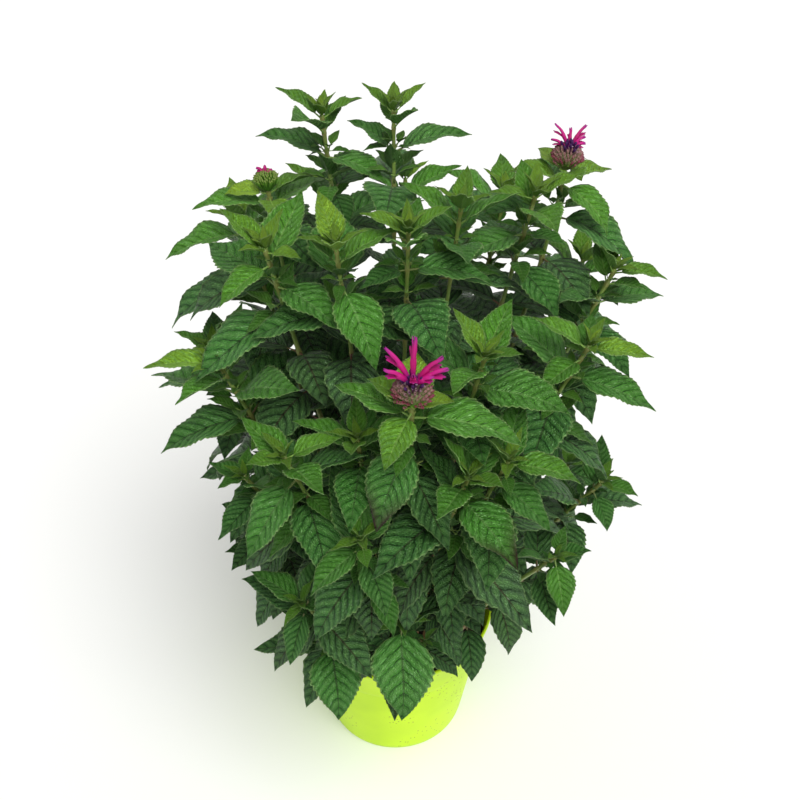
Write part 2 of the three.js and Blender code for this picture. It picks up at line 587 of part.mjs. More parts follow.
function leavesTouch(first, second) {
  if (!first.box.intersectsBox(second.box)) return false;
  const near = second.own.filter((one) => one.box.intersectsBox(first.box));
  return first.reach.some((a) => near.some((b) => patchesCross(a, b)));
}

// The nearest distance between the stretches p to q and r to s
function stretchGap(p, q, r, s) {
  const [first, second, between] = [q.clone().sub(p), s.clone().sub(r), p.clone().sub(r)];
  const [a, b, c] = [first.dot(first), first.dot(second), first.dot(between)];
  const [e, f] = [second.dot(second), second.dot(between)];
  const flat = a * e - b * b;
  let m = flat > 1e-9 ? THREE.MathUtils.clamp((b * f - c * e) / flat, 0, 1) : 0;
  const n = THREE.MathUtils.clamp((b * m + f) / e, 0, 1);
  m = THREE.MathUtils.clamp((b * n - c) / a, 0, 1);
  return p.clone().addScaledVector(first, m).distanceTo(r.clone().addScaledVector(second, n));
}

// A leaf's foot may be near the stalk that it grows on
function touchesStalk(sheets, stalk, own) {
  if (!sheets.box.intersectsBox(stalk.box)) return false;
  const room = STALK.halfBase * Math.SQRT2 + CLEARANCE;
  const step = 4;
  for (let i = 0; i + step < stalk.line.length; i += step) {
    const [p, q] = [stalk.line[i], stalk.line[i + step]];
    const stretch = new THREE.Box3().setFromPoints([p, q]).expandByScalar(room);
    for (const one of sheets.own) {
      if ((own && one.foot) || !stretch.intersectsBox(one.box)) continue;
      const t = one.corners;
      if (pierces(p, q, t)) return true;
      if ([0, 1, 2].some((k) => stretchGap(p, q, t[k], t[(k + 1) % 3]) < room)) return true;
    }
  }
  return false;
}

// Whether a leaf reaches into the pot's wall, the soil or the ground
function touchesPot(sheets) {
  return sheets.corners.some((p) => {
    const radius = Math.hypot(p.x, p.y);
    if (p.z < 8) return true;
    if (p.z > POT.height + 3) return false;
    const outside = POT.rimRadius + 4 - Math.max(0, POT.height - 10 - p.z) * 0.1;
    if (radius > outside) return false;
    return radius > POT.rimRadius - 9 || p.z < SOIL.level + 9;
  });
}

// A flower head keeps a ball of room
function touchesHead(sheets, head) {
  return sheets.corners.some((p) => p.distanceTo(head.centre) < HEAD.room);
}

// The direction out of a stalk at an angle round it, from the side of its first leaf
function outOf(at, azimuth) {
  const [along, across] = [Math.cos(azimuth * DEGREE), Math.sin(azimuth * DEGREE)];
  return at.first.clone().multiplyScalar(along).addScaledVector(at.second, across);
}

function nodeOf(stem, pair) {
  return placeOn(stem.stalk, stem.stalk.total - rowsOf(stem)[pair].down);
}

// A leaf that sets out from its stalk in the given direction
function leafFrom(stem, pair, hand, way, shape) {
  const at = nodeOf(stem, pair);
  const out = outOf(at, 90 * pair + 180 * hand);
  const round = way.clone().addScaledVector(at.way, -way.dot(at.way)).normalize();
  return {
    base: at.point,
    heading: new THREE.Vector3(way.x, way.y, 0).normalize(),
    rise: Math.asin(way.z),
    droop: shape.droop * DEGREE,
    twist: shape.twist * DEGREE,
    length: shape.length,
    petiole: Math.max(LEAF.petioleShare, LEAF.shortestPetiole / shape.length),
    width: shape.length * shape.wide,
    outwards: way.x * out.x + way.y * out.y,
    facing: round.dot(out),
    fold: pair < 2 ? LEAF.youngFold : LEAF.fold,
    teeth: rowsOf(stem)[pair].teeth,
    pair,
    hand,
  };
}

// A leaf of a pair: the draws vary it, and the try is what it takes to stand clear
function leafAt(stem, pair, hand, draw, change) {
  const row = rowsOf(stem)[pair];
  const at = nodeOf(stem, pair);
  const lift = Math.max(LEAF.leastLift, row.lift + draw.lift + change.lift) * DEGREE;
  const out = outOf(at, 90 * pair + 180 * hand + draw.swing + change.swing);
  const way = at.way.clone().multiplyScalar(Math.cos(lift)).addScaledVector(out, Math.sin(lift));
  return leafFrom(stem, pair, hand, way, {
    length: stem.leaf * row.size * draw.size * change.shrink,
    droop: row.droop + draw.droop,
    twist: draw.twist,
    wide: row.wide * draw.wide,
  });
}

// A leaf that shows, from the side of its stalk that faces its tip: its rib is an arc that ends there
function shownLeafAt(stem, shown, change) {
  const at = nodeOf(stem, shown.pair);
  const chord = new THREE.Vector3(...shown.tip).sub(at.point);
  const hand = chord.dot(outOf(at, 90 * shown.pair)) > 0 ? 0 : 1;
  const reach = chord.length();
  const half = (shown.droop / 2) * DEGREE;
  const rise = Math.asin(chord.z / reach) + half - change.lift * DEGREE;
  const heading = chord.setZ(0).normalize().applyAxisAngle(UP, change.swing * DEGREE);
  const way = heading.multiplyScalar(Math.cos(rise)).addScaledVector(UP, Math.sin(rise));
  const length = ((reach * half) / Math.sin(half)) * change.shrink;
  return leafFrom(stem, shown.pair, hand, way, { length, droop: shown.droop, twist: 0, wide: shown.wide });
}

function drawFor(index, pair, hand) {
  const next = drawer(index * 40 + pair * 2 + hand + 1);
  return {
    swing: next(-11, 11),
    lift: next(-7, 7),
    size: next(0.9, 1.08),
    droop: next(-6, 14),
    twist: next(-26, 26),
    wide: next(0.9, 1.08),
  };
}

// Whether a leaf, with its sheets, stands clear of the pot, the heads, the stalks and the other leaves
function standsClear(stem, leaf, sheets, placed, stems) {
  if (leaf.outwards < LEAF.leastOutwards || leaf.facing < LEAF.leastFacing) return false;
  if (touchesPot(sheets) || placed.some((other) => leavesTouch(sheets, other))) return false;
  if (stems.some((other) => other !== stem && other.head && touchesHead(sheets, other))) return false;
  return !stems.some((other) => touchesStalk(sheets, other.stalk, other === stem));
}

// Grows the first of a leaf's tries that stands clear. Where none does, the place stays bare.
function growLeaf(stem, leafFor, placed, stems) {
  for (const shrink of SHRINKS) {
    for (const lift of LIFTS) {
      for (const swing of SWINGS) {
        const leaf = leafFor({ shrink, lift, swing });
        const sheets = leafSheets(leaf);
        if (standsClear(stem, leaf, sheets, placed, stems)) {
          placed.push(sheets);
          stem.leaves.push(leaf);
          return;
        }
      }
    }
  }
}

// Grows every leaf of every stem: those that show, then the others, the upper pairs of all stems first
function growLeaves(stems) {
  const placed = [];
  for (const shown of SHOWN) {
    const stem = stems.find((one) => one.name === shown.stem);
    growLeaf(stem, (change) => shownLeafAt(stem, shown, change), placed, stems);
  }
  for (let pair = 0; pair < PAIRS.length; pair += 1) {
    stems.forEach((stem, index) => {
      for (const hand of pair < stem.pairs ? [0, 1] : []) {
        if (stem.leaves.some((one) => one.pair === pair && one.hand === hand)) continue;
        const draw = drawFor(index, pair, hand);
        growLeaf(stem, (change) => leafAt(stem, pair, hand, draw, change), placed, stems);
      }
    });
  }
}

function potSolid() {
  const p = POT;
  const collarZ = p.height - p.collarHeight;
  const outline = [
    [0, 0],
    [p.baseRadius - 2, 0],
    [p.baseRadius, 2],
    [p.bodyTopRadius, collarZ - 1.2],
    [p.collarRadius, collarZ],
    [p.rimRadius, p.height - 2],
    [p.rimRadius, p.height],
    [p.rimRadius - p.rimWidth, p.height],
    [p.collarRadius - p.wall, collarZ + p.stepAbove],
    [p.bodyTopRadius - p.wall, collarZ - p.stepBelow],
    [p.baseRadius - p.wall, p.floor],
    [0, p.floor],
  ];
  const profile = outline.map(([r, z]) => new THREE.Vector2(r, z));
  let solid = solidOf(new THREE.LatheGeometry(profile, p.sides).rotateX(Math.PI / 2));
  for (let i = 0; i < p.drainHoles; i += 1) {
    const angle = (i + 0.5) * ((2 * Math.PI) / p.drainHoles);
    const reach = p.baseRadius - 2 * p.drainRadius;
    const drill = new THREE.CylinderGeometry(p.drainRadius, p.drainRadius, 4 * p.floor, 8);
    drill.rotateX(Math.PI / 2).translate(Math.cos(angle) * reach, Math.sin(angle) * reach, 0);
    solid = solid.subtract(solidOf(drill));
  }
  return solid;
}

// The radius of the pot's bore at a height
function boreAt(z) {
  const collarZ = POT.height - POT.collarHeight;
  const [low, middle] = [POT.baseRadius - POT.wall, POT.bodyTopRadius - POT.wall];
  const [step, top] = [POT.collarRadius - POT.wall, POT.rimRadius - POT.rimWidth];
  if (z < collarZ) return THREE.MathUtils.mapLinear(z, POT.floor, collarZ - POT.stepBelow, low, middle);
  return THREE.MathUtils.mapLinear(z, collarZ + POT.stepAbove, POT.height, step, top);
}

// The soil: a plug that fills the bore, its top bevelled down to the wall
function soilSolid(stems) {
  const collarZ = POT.height - POT.collarHeight;
  const edgeZ = SOIL.level - SOIL.mound;
  const facet = Math.cos(Math.PI / POT.sides);
  const ring = (radius, z) =>
    Array.from({ length: POT.sides }, (_, i) => {
      const angle = (i / POT.sides) * 2 * Math.PI;
      return new THREE.Vector3(Math.cos(angle) * radius, Math.sin(angle) * radius, z);
    });
  const heights = [POT.floor + SOIL.gap, collarZ - POT.stepBelow, collarZ + POT.stepAbove, edgeZ];
  const rings = heights.map((z) => ring((boreAt(z) - SOIL.gap) * facet, z));
  rings.push(ring(boreAt(edgeZ) * 0.86, SOIL.level));
  return stems.reduce((solid, stem) => solid.subtract(stemHole(stem)), solidOf(loft(rings)));
}

// The hole that a stalk stands in: its lowest stretch, a little wider, and open above the soil
function stemHole(stem) {
  const [low, high] = sectionStops(stem).map((stop) => sectionAt(stem.stalk, stop.along));
  const climb = high[0].z - low[0].z;
  const grow = 1 + SOIL.holeGap / STALK.halfBase;
  const rings = [-SOIL.holeGap, STALK.sunk + SOIL.mound].map((rise) => {
    const ring = low.map((corner, i) => corner.clone().lerp(high[i], rise / climb));
    const middle = ring[0].clone().lerp(ring[2], 0.5);
    return ring.map((corner) => corner.sub(middle).multiplyScalar(grow).add(middle));
  });
  return solidOf(loft(rings));
}

// Flower heads are made upright on the origin, then set on their stalks
function setOn(stem, geometry) {
  const at = placeOn(stem.stalk, stem.stalk.total);
  const place = new THREE.Matrix4().makeBasis(at.first, at.second, at.way).setPosition(at.point);
  return geometry.applyMatrix4(place);
}

// The direction at an angle from upright, and at an angle round it
function pointing(polar, azimuth) {
  const across = Math.sin(polar);
  return new THREE.Vector3(across * Math.sin(azimuth), -across * Math.cos(azimuth), Math.cos(polar));
}

function calyxesOf(stem) {
  const size = KINDS[stem.head].size;
  const outline = [
    [0, 0],
    [HEAD.neckRadius, 0],
    [0.85 * HEAD.domeRadius, 0.42 * HEAD.domeHeight],
    [HEAD.domeRadius, 0.66 * HEAD.domeHeight],
    [0.75 * HEAD.domeRadius, 0.9 * HEAD.domeHeight],
    [HEAD.crownRadius, HEAD.domeHeight],
    [0, HEAD.domeHeight],
  ];
  const profile = outline.map(([r, z]) => new THREE.Vector2(r * size, z * size + HEAD.gap));
  const solids = [solidOf(setOn(stem, new THREE.LatheGeometry(profile, 8).rotateX(Math.PI / 2)))];
  HEAD.calyxRows.forEach(({ polar, count }, row) => {
    for (let i = 0; i < count; i += 1) {
      const way = pointing(polar * DEGREE, ((i + 0.5 * row) / count) * 2 * Math.PI);
      solids.push(solidOf(setOn(stem, calyxGeometry(way, size))));
    }
  });
  return wasm.Manifold.union(solids);
}

// A calyx, from inside the dome outwards: three-sided, and wider at its mouth
function calyxGeometry(way, size) {
  const side = new THREE.Vector3().crossVectors(UP, way).normalize();
  const front = new THREE.Vector3().crossVectors(way, side);
  const centre = new THREE.Vector3(0, 0, HEAD.calyxCentre * size + HEAD.gap);
  const rings = [0.3, 1].map((share) =>
    [0, 1, 2].map((k) => {
      const turn = (k * 2 * Math.PI) / 3;
      const radius = HEAD.calyxRadius * size * (0.6 + 0.4 * share);
      return centre
        .clone()
        .addScaledVector(way, HEAD.calyxReach * size * share)
        .addScaledVector(side, radius * Math.cos(turn))
        .addScaledVector(front, radius * Math.sin(turn));
    }),
  );
  return loft(rings);
}

// A floret: a tube that widens and curves outwards, its narrow upper lip onwards, its lower lip hanging
function floretSolids(stem, way, length) {
  const side = new THREE.Vector3().crossVectors(UP, way).normalize();
  const out = new THREE.Vector3().crossVectors(side, way).normalize();
  const start = new THREE.Vector3(0, 0, (HEAD.domeHeight + 2) * KINDS[stem.head].size + 2 * HEAD.gap);
  const at = (share) => {
    const bend = 0.8 * share;
    const point = start.clone().addScaledVector(way, length * share * (1 - 0.1 * share));
    point.addScaledVector(out, length * 0.24 * share * share);
    const across = out.clone().multiplyScalar(Math.cos(bend)).addScaledVector(way, -Math.sin(bend));
    return { point, across };
  };
  const ringAt = (share, half, otherHalf, drop) => {
    const { point, across } = at(share);
    return squareRing(point.addScaledVector(across, drop), across, side, half, otherHalf);
  };
  const tube = [ringAt(0, 1, 1, 0), ringAt(0.64, 1.7, 1.7, 0), ringAt(1, 0.6, 0.8, -0.9)];
  const lip = [ringAt(0.5, 0.8, 0.9, 0.5), ringAt(0.86, 0.5, 1.5, Math.min(4.8, 0.2 * length))];
  return [tube, lip].map((rings) => solidOf(setOn(stem, loft(rings))));
}

// The open florets of a head, joined by the crown that they grow out of
function floretsOf(stem) {
  const { size, florets } = KINDS[stem.head];
  const base = HEAD.domeHeight * size + 2 * HEAD.gap;
  const outline = [
    [0, base],
    [HEAD.crownRadius * size, base],
    [HEAD.crownRadius * size + 0.6, base + 2 * size],
    [1.6 * size, base + 4 * size],
    [0, base + 4 * size],
  ];
  const profile = outline.map(([r, z]) => new THREE.Vector2(r, z));
  const crown = solidOf(setOn(stem, new THREE.LatheGeometry(profile, 6).rotateX(Math.PI / 2)));
  const open = florets.flatMap(([round, polar, length]) => {
    const way = pointing(polar * DEGREE, (round - stem.turn + 90) * DEGREE);
    return floretSolids(stem, way, length);
  });
  return wasm.Manifold.union([crown, ...open]);
}

const MATERIALS = {
  pot: new THREE.MeshStandardMaterial({ color: 0xcdf23a, roughness: 0.45, metalness: 0 }),
  soil: new THREE.MeshStandardMaterial({ color: 0x1d1712, roughness: 1, metalness: 0 }),
  foliage: new THREE.MeshStandardMaterial({ color: 0x2f6b2a, roughness: 0.5, metalness: 0 }),
  calyxes: new THREE.MeshStandardMaterial({ color: 0xa8605a, roughness: 0.7, metalness: 0 }),
  florets: new THREE.MeshStandardMaterial({ color: 0xd60f82, roughness: 0.55, metalness: 0 }),
};

function addPiece(group, name, geometry, material) {
  const mesh = new THREE.Mesh(geometry, MATERIALS[material]);
  mesh.name = name;
  group.add(mesh);
}

const plant = new THREE.Group();
const stems = STEMS.map((stem) => ({ ...stem, leaves: [], stalk: stalkOf(stem) }));
for (const stem of stems.filter((one) => one.head)) {
  const top = placeOn(stem.stalk, stem.stalk.total);
  stem.centre = top.point.addScaledVector(top.way, HEAD.domeHeight);
}
growLeaves(stems);

addPiece(plant, 'pot', geometryOf(potSolid()), 'pot');
addPiece(plant, 'soil', geometryOf(soilSolid(stems)), 'soil');
for (const stem of stems) {
  addPiece(plant, `stem_${stem.name}`, stemGeometry(stem), 'foliage');
  if (stem.head) addPiece(plant, `calyxes_${stem.name}`, geometryOf(calyxesOf(stem)), 'calyxes');
  if (stem.head) addPiece(plant, `florets_${stem.name}`, geometryOf(floretsOf(stem)), 'florets');
}

export default plant;
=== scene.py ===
# A potted bee balm: leafy stems and three flower heads, standing in dark soil in a lime plastic pot.
# The plant's rules repeat those of its solids, in millimetres, and each piece is made over its solid.
import math

import bpy
import numpy as np
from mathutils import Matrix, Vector, noise
from mathutils.bvhtree import BVHTree
from mathutils.kdtree import KDTree


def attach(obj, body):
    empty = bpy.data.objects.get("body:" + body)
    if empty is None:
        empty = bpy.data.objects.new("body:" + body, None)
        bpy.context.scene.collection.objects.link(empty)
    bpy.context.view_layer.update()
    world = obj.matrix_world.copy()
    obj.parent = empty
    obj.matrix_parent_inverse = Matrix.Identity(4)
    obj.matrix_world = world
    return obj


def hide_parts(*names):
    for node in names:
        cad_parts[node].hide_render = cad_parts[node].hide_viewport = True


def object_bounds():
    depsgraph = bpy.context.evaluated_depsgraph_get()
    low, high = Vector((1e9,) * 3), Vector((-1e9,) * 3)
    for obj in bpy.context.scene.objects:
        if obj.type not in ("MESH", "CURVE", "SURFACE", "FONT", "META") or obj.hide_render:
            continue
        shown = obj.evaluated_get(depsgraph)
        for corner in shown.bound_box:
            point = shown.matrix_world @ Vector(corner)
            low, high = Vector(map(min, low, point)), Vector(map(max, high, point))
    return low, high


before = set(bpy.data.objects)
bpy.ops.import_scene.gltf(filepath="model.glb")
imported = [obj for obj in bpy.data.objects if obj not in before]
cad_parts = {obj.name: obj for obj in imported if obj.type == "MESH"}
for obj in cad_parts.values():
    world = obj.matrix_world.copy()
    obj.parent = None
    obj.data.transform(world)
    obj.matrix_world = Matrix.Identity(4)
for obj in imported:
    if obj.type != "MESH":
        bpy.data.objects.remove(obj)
solid_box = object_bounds()

# The view is from above the front of the plant, through a normal lens, as someone who stands over it looks
# down on it.
lens = bpy.data.cameras.new("view")
lens.sensor_width = 36
lens.lens = 45
camera = bpy.data.objects.new("view", lens)
camera.location = (0.004, -0.550, 0.805)
camera.rotation_euler = (math.radians(50.5), 0, 0)
bpy.context.scene.collection.objects.link(camera)
bpy.context.scene.camera = camera


# The floor under the pot is a plain off-white sheet. It runs on past the edges of the picture, and it
# isn't part of the plant.
class Finish:
    """A material, with the usual nodes as methods that give back the socket they make."""

    def __init__(self, name, colour, roughness, specular=0.5):
        self.material = bpy.data.materials.new(name)
        self.material.use_nodes = True
        self.tree = self.material.node_tree
        self.link = self.tree.links.new
        self.shader = self.tree.nodes["Principled BSDF"].inputs
        self.put(self.shader["Base Color"], colour)
        self.put(self.shader["Roughness"], roughness)
        self.put(self.shader["Specular IOR Level"], specular)

    def add(self, kind, **settings):
        """Adds a node, and sets what is named: its own settings, or the numbers on its sockets."""
        node = self.tree.nodes.new("ShaderNode" + kind)
        for key, value in settings.items():
            if hasattr(node, key):
                setattr(node, key, value)
            else:
                self.put(node.inputs[key.replace("_", " ")], value)
        return node

    def put(self, socket, value):
        """Puts a number, a colour or another node's socket into a socket."""
        if isinstance(value, bpy.types.NodeSocket):
            self.link(value, socket)
        elif isinstance(value, tuple):
            socket.default_value = (*value, 1)
        else:
            socket.default_value = value

    def texture(self, kind, output, **settings):
        """A texture in the object's own space."""
        node = self.add("Tex" + kind, **settings)
        self.link(self.add("TexCoord").outputs["Object"], node.inputs["Vector"])
        return node.outputs[output]

    def attribute(self, name):
        return self.add("Attribute", attribute_name=name).outputs["Fac"]

    def maths(self, operation, first, second=0.0, clamp=False):
        node = self.add("Math", operation=operation, use_clamp=clamp)
        self.put(node.inputs[0], first)
        self.put(node.inputs[1], second)
        return node.outputs[0]

    def plus(self, first, second, clamp=False):
        return self.maths("ADD", first, second, clamp)

    def minus(self, first, second, clamp=False):
        return self.maths("SUBTRACT", first, second, clamp)

    def times(self, first, second, clamp=False):
        return self.maths("MULTIPLY", first, second, clamp)

    def part_of(self, value, **limits):
        """A value mapped from one range to another, and held inside it."""
        node = self.add("MapRange", clamp=True, **limits)
        self.link(value, node.inputs["Value"])
        return node.outputs[0]

    def mixed(self, factor, first, second):
        """Two colours mixed by a factor."""
        node = self.add("Mix", data_type="RGBA")
        for number, value in ((0, factor), (6, first), (7, second)):
            self.put(node.inputs[number], value)
        return node.outputs[2]

    def ramp(self, share, stops):
        """The colour at a share along stops, each a position and a colour."""
        node = self.add("ValToRGB")
        for element, (position, colour) in zip(node.color_ramp.elements, (stops[0], stops[-1])):
            element.position = position
            element.color = (*colour, 1)
        for position, colour in stops[1:-1]:
            node.color_ramp.elements.new(position).color = (*colour, 1)
        self.link(share, node.inputs["Fac"])
        return node.outputs["Color"]

    def relief(self, height, strength, distance):
        """Raises the surface by a height, as the light sees it."""
        node = self.add("Bump", Strength=strength, Distance=distance)
        self.link(height, node.inputs["Height"])
        self.link(node.outputs["Normal"], self.shader["Normal"])


bpy.ops.object.select_all(action="DESELECT")
bpy.ops.mesh.primitive_plane_add(size=6)
floor = bpy.context.object
floor.name = "floor"
floor.data.materials.append(Finish("floor_paint", (0.92, 0.92, 0.91), 0.9).material)


# The light is a large soft lamp far off, high at the front right, and a pale room that fills in its
# shadows.
sun = bpy.data.lights.new("key", "SUN")
sun.energy = 2.3
sun.angle = math.radians(40)
key = bpy.data.objects.new("key", sun)
key.rotation_euler = (Vector((0, 0, 0)) - Vector((0.3, -0.55, 1.0))).to_track_quat("-Z", "Y").to_euler()
bpy.context.scene.collection.objects.link(key)
room = bpy.data.worlds.new("room")
room.use_nodes = True
room.node_tree.nodes["Background"].inputs["Color"].default_value = (1, 1, 0.98, 1)
room.node_tree.nodes["Background"].inputs["Strength"].default_value = 0.55
bpy.context.scene.world = room
bpy.context.scene.view_settings.view_transform = "Standard"

# The pot is one thin shell of lime polypropylene, injection moulded, with a flared collar and a rolled
# rim. Round drain holes go through its floor, inside the foot that it stands on.
MM = 0.001
POT = {
    "height": 134,
    "rim": 82.5,
    "rim_width": 2.4,
    "collar_height": 34,
    "collar": 76.2,
    "body_top": 74.4,
    "base": 61,
    "wall": 1.4,
    "floor": 2.4,
    "drain_radius": 5.5,
    "drain_holes": 6,
    "sides": 128,
}


def pot_outline():
    """The section of the shell, from the middle of its underside, round the rim, to inside its floor."""
    p = POT
    step = p["height"] - p["collar_height"]
    lip = p["rim"] - p["rim_width"]
    inside = p["base"] - p["wall"]
    outer = [(p["base"] - 3, 0), (p["base"] - 1.2, 0.5), (p["base"] - 0.2, 1.8), (p["base"] + 0.6, 6)]
    side = [(p["body_top"] - 0.6, step - 6), (p["body_top"], step - 1.6), (p["body_top"] + 0.3, step - 0.5)]
    collar = [(p["collar"] - 0.2, step), (p["collar"] + 0.4, step + 1.4), (p["collar"] + 1, step + 5)]
    rim = [(p["rim"] - 0.7, p["height"] - 4), (p["rim"], p["height"] - 2.4), (p["rim"], p["height"] - 0.8)]
    top = [(p["rim"] - 0.7, p["height"]), (lip + 0.6, p["height"]), (lip, p["height"] - 0.8)]
    bore = [(p["collar"] - p["wall"], step + 0.8), (p["body_top"] - p["wall"], step - 1.8)]
    return outer + side + collar + rim + top + bore + [(inside, p["floor"] + 1.5), (inside - 2, p["floor"])]


def turned(name, outline, sides):
    """Extrudes a ring of edges through an outline of radii and heights, and closes both ends."""
    bpy.ops.object.select_all(action="DESELECT")
    radius, height = outline[0]
    bpy.ops.mesh.primitive_circle_add(vertices=sides, radius=radius * MM, location=(0, 0, height * MM))
    piece = bpy.context.object
    piece.name = name
    bpy.ops.object.transform_apply()
    bpy.ops.object.mode_set(mode="EDIT")
    bpy.ops.mesh.edge_face_add()
    bpy.ops.mesh.select_all(action="SELECT")
    for radius_next, height_next in outline[1:]:
        bpy.ops.mesh.extrude_edges_move(TRANSFORM_OT_translate={"value": (0, 0, (height_next - height) * MM)})
        bpy.ops.transform.resize(value=(radius_next / radius, radius_next / radius, 1))
        radius, height = radius_next, height_next
    bpy.ops.mesh.edge_face_add()
    bpy.ops.mesh.select_all(action="SELECT")
    bpy.ops.mesh.normals_make_consistent(inside=False)
    bpy.ops.object.mode_set(mode="OBJECT")
    return piece


def cut_drain_holes(pot):
    """Drills a ring of round holes through the floor."""
    reach = (POT["base"] - 2 * POT["drain_radius"]) * MM
    for i in range(POT["drain_holes"]):
        angle = (i + 0.5) * math.tau / POT["drain_holes"]
        bpy.ops.object.select_all(action="DESELECT")
        place = (math.cos(angle) * reach, math.sin(angle) * reach, 0)
        radius = POT["drain_radius"] * MM
        bpy.ops.mesh.primitive_cylinder_add(vertices=32, radius=radius, depth=0.01, location=place)
        drill = bpy.context.object
        cut = pot.modifiers.new("drain", "BOOLEAN")
        cut.operation = "DIFFERENCE"
        cut.object = drill
        bpy.context.view_layer.objects.active = pot
        bpy.ops.object.modifier_apply(modifier="drain")
        bpy.data.objects.remove(drill)


def lime_plastic():
    """Lime plastic, a little uneven, with darker specks mostly on its right and a fine moulded grain."""
    finish = Finish("lime_plastic", (0.62, 0.93, 0.03), 0.42, specular=0.25)
    cloud = finish.texture("Noise", "Fac", Scale=14, Detail=3)
    lime = finish.ramp(cloud, ((0.3, (0.51, 0.79, 0.008)), (0.7, (0.66, 0.95, 0.012))))
    sides = finish.add("SeparateXYZ")
    finish.link(finish.add("TexCoord").outputs["Object"], sides.inputs[0])
    patches = finish.texture("Noise", "Fac", Scale=30, Detail=2)
    # Where the darker specks may lie: more towards the right, in patches.
    speck_field = finish.plus(finish.times(sides.outputs["X"], 2.2), patches)
    specks = finish.maths("LESS_THAN", finish.texture("Voronoi", "Distance", Scale=260), 0.19)
    specks = finish.times(specks, finish.maths("GREATER_THAN", speck_field, 0.57))
    finish.put(finish.shader["Base Color"], finish.mixed(specks, lime, (0.30, 0.44, 0.02)))
    finish.relief(finish.texture("Noise", "Fac", Scale=900, Detail=2), 0.12, 0.0004)
    return finish.material


pot = turned("nursery_pot", pot_outline(), POT["sides"])
cut_drain_holes(pot)
pot.data.materials.append(lime_plastic())
bpy.ops.object.select_all(action="DESELECT")
pot.select_set(True)
bpy.context.view_layer.objects.active = pot
bpy.ops.object.shade_smooth_by_angle(angle=math.radians(35))
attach(pot, "root")
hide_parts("pot")

# The soil is dark peat and bark fines, watered down to a little below the rim: a rough crumbly top over
# a plug that fills the pot, with bigger crumbs and bits of bark lying loose on it.
SOIL = {"level": 119, "gap": 0.3, "mound": 4, "rings": 44, "sides": 132, "crumbs": 420}


def chance(seed):
    """A repeatable draw between two values, the same for the same seed."""
    state = seed * 7919 + 17

    def draw(low, high):
        nonlocal state
        state = state * 16807 % 2147483647
        return low + (high - low) * state / 2147483647

    return draw


def soil_height(x, y):
    """The height of the soil's top at a place, in millimetres: a low mound, lumps and grains."""
    reach = math.hypot(x, y) / 78
    lump = noise.noise(Vector((x / 14, y / 14, 2.3)))
    grain = noise.noise(Vector((x / 3.1, y / 3.1, 7.1)))
    return SOIL["level"] - SOIL["mound"] * reach**3 + 1.5 * lump + 1.0 * grain


def ring_quads(rings, sides):
    """Quads between rings of corners that follow each other."""
    faces = []
    for k in range(rings - 1):
        for i in range(sides):
            j = (i + 1) % sides
            faces.append((k * sides + i, k * sides + j, (k + 1) * sides + j, (k + 1) * sides + i))
    return faces


def soil_mesh():
    """The plug from its floor up, then the top as rings of quads in towards the middle."""
    sides, rings = SOIL["sides"], SOIL["rings"]
    step = POT["height"] - POT["collar_height"]
    gap = POT["wall"] + SOIL["gap"]
    shell = [(POT["base"] - gap, POT["floor"] + SOIL["gap"]), (POT["body_top"] - gap, step - 1.8)]
    shell.append((POT["collar"] - gap, step + 0.8))
    edge = POT["collar"] - gap + (POT["rim"] - POT["rim_width"] - POT["collar"] + POT["wall"]) * 0.42
    points = []
    for radius, height in shell + [(edge * (1 - k / rings), None) for k in range(rings)]:
        for i in range(sides):
            angle = i * math.tau / sides
            x, y = radius * math.cos(angle), radius * math.sin(angle)
            points.append((x, y, soil_height(x, y) if height is None else height))
    faces = ring_quads(len(shell) + rings, sides)
    last = len(points) - sides
    points.append((0, 0, soil_height(0, 0)))
    faces += [(last + i, last + (i + 1) % sides, len(points) - 1) for i in range(sides)]
    faces.append(tuple(reversed(range(sides))))
    return np.array(points) * MM, faces


def crumb_form():
    """One crumb: a rough lump, modelled once."""
    bpy.ops.object.select_all(action="DESELECT")
    bpy.ops.mesh.primitive_ico_sphere_add(subdivisions=1, radius=1)
    lump = bpy.context.object
    corners = np.array([v.co for v in lump.data.vertices])
    faces = [tuple(p.vertices) for p in lump.data.polygons]
    bpy.data.objects.remove(lump)
    return corners, faces


def add_crumbs(points, faces):
    """Lays crumbs of all sizes on the soil, each squashed and turned in its own way."""
    draw = chance(31)
    corners, triangles = crumb_form()
    for _ in range(SOIL["crumbs"]):
        reach, angle = 74 * math.sqrt(draw(0, 1)), draw(0, math.tau)
        x, y = reach * math.cos(angle), reach * math.sin(angle)
        size = draw(0.7, 2.3) ** 1.2
        shape = corners * (size, size * draw(0.5, 1), size * draw(0.4, 0.8))
        shape = shape * np.array([draw(0.75, 1.2) for _ in corners])[:, None]
        turn = draw(0, math.tau)
        c, s = math.cos(turn), math.sin(turn)
        place = (x, y, soil_height(x, y) + 0.2 * size)
        shape = shape @ np.array(((c, s, 0), (-s, c, 0), (0, 0, 1))) + place
        start = len(points)
        points = np.vstack((points, shape * MM))
        faces += [tuple(start + i for i in face) for face in triangles]
    return points, faces


def peat():
    """Damp peat: near black with brown patches and grains, and dull."""
    finish = Finish("peat", (0.02, 0.014, 0.01), 0.9)
    cloud = finish.texture("Noise", "Fac", Scale=90, Detail=5)
    brown = finish.ramp(cloud, ((0.32, (0.006, 0.004, 0.003)), (0.75, (0.065, 0.042, 0.026))))
    finish.put(finish.shader["Base Color"], brown)
    finish.relief(finish.texture("Voronoi", "Distance", Scale=420), 0.7, 0.0008)
    return finish.material


def new_piece(name, points, faces):
    """A piece with the given corners, in metres, and faces."""
    mesh = bpy.data.meshes.new(name)
    mesh.from_pydata(points, [], faces)
    piece = bpy.data.objects.new(name, mesh)
    bpy.context.scene.collection.objects.link(piece)
    return piece


soil = new_piece("peat_soil", *add_crumbs(*soil_mesh()))
soil.data.materials.append(peat())
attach(soil, "root")
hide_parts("soil")

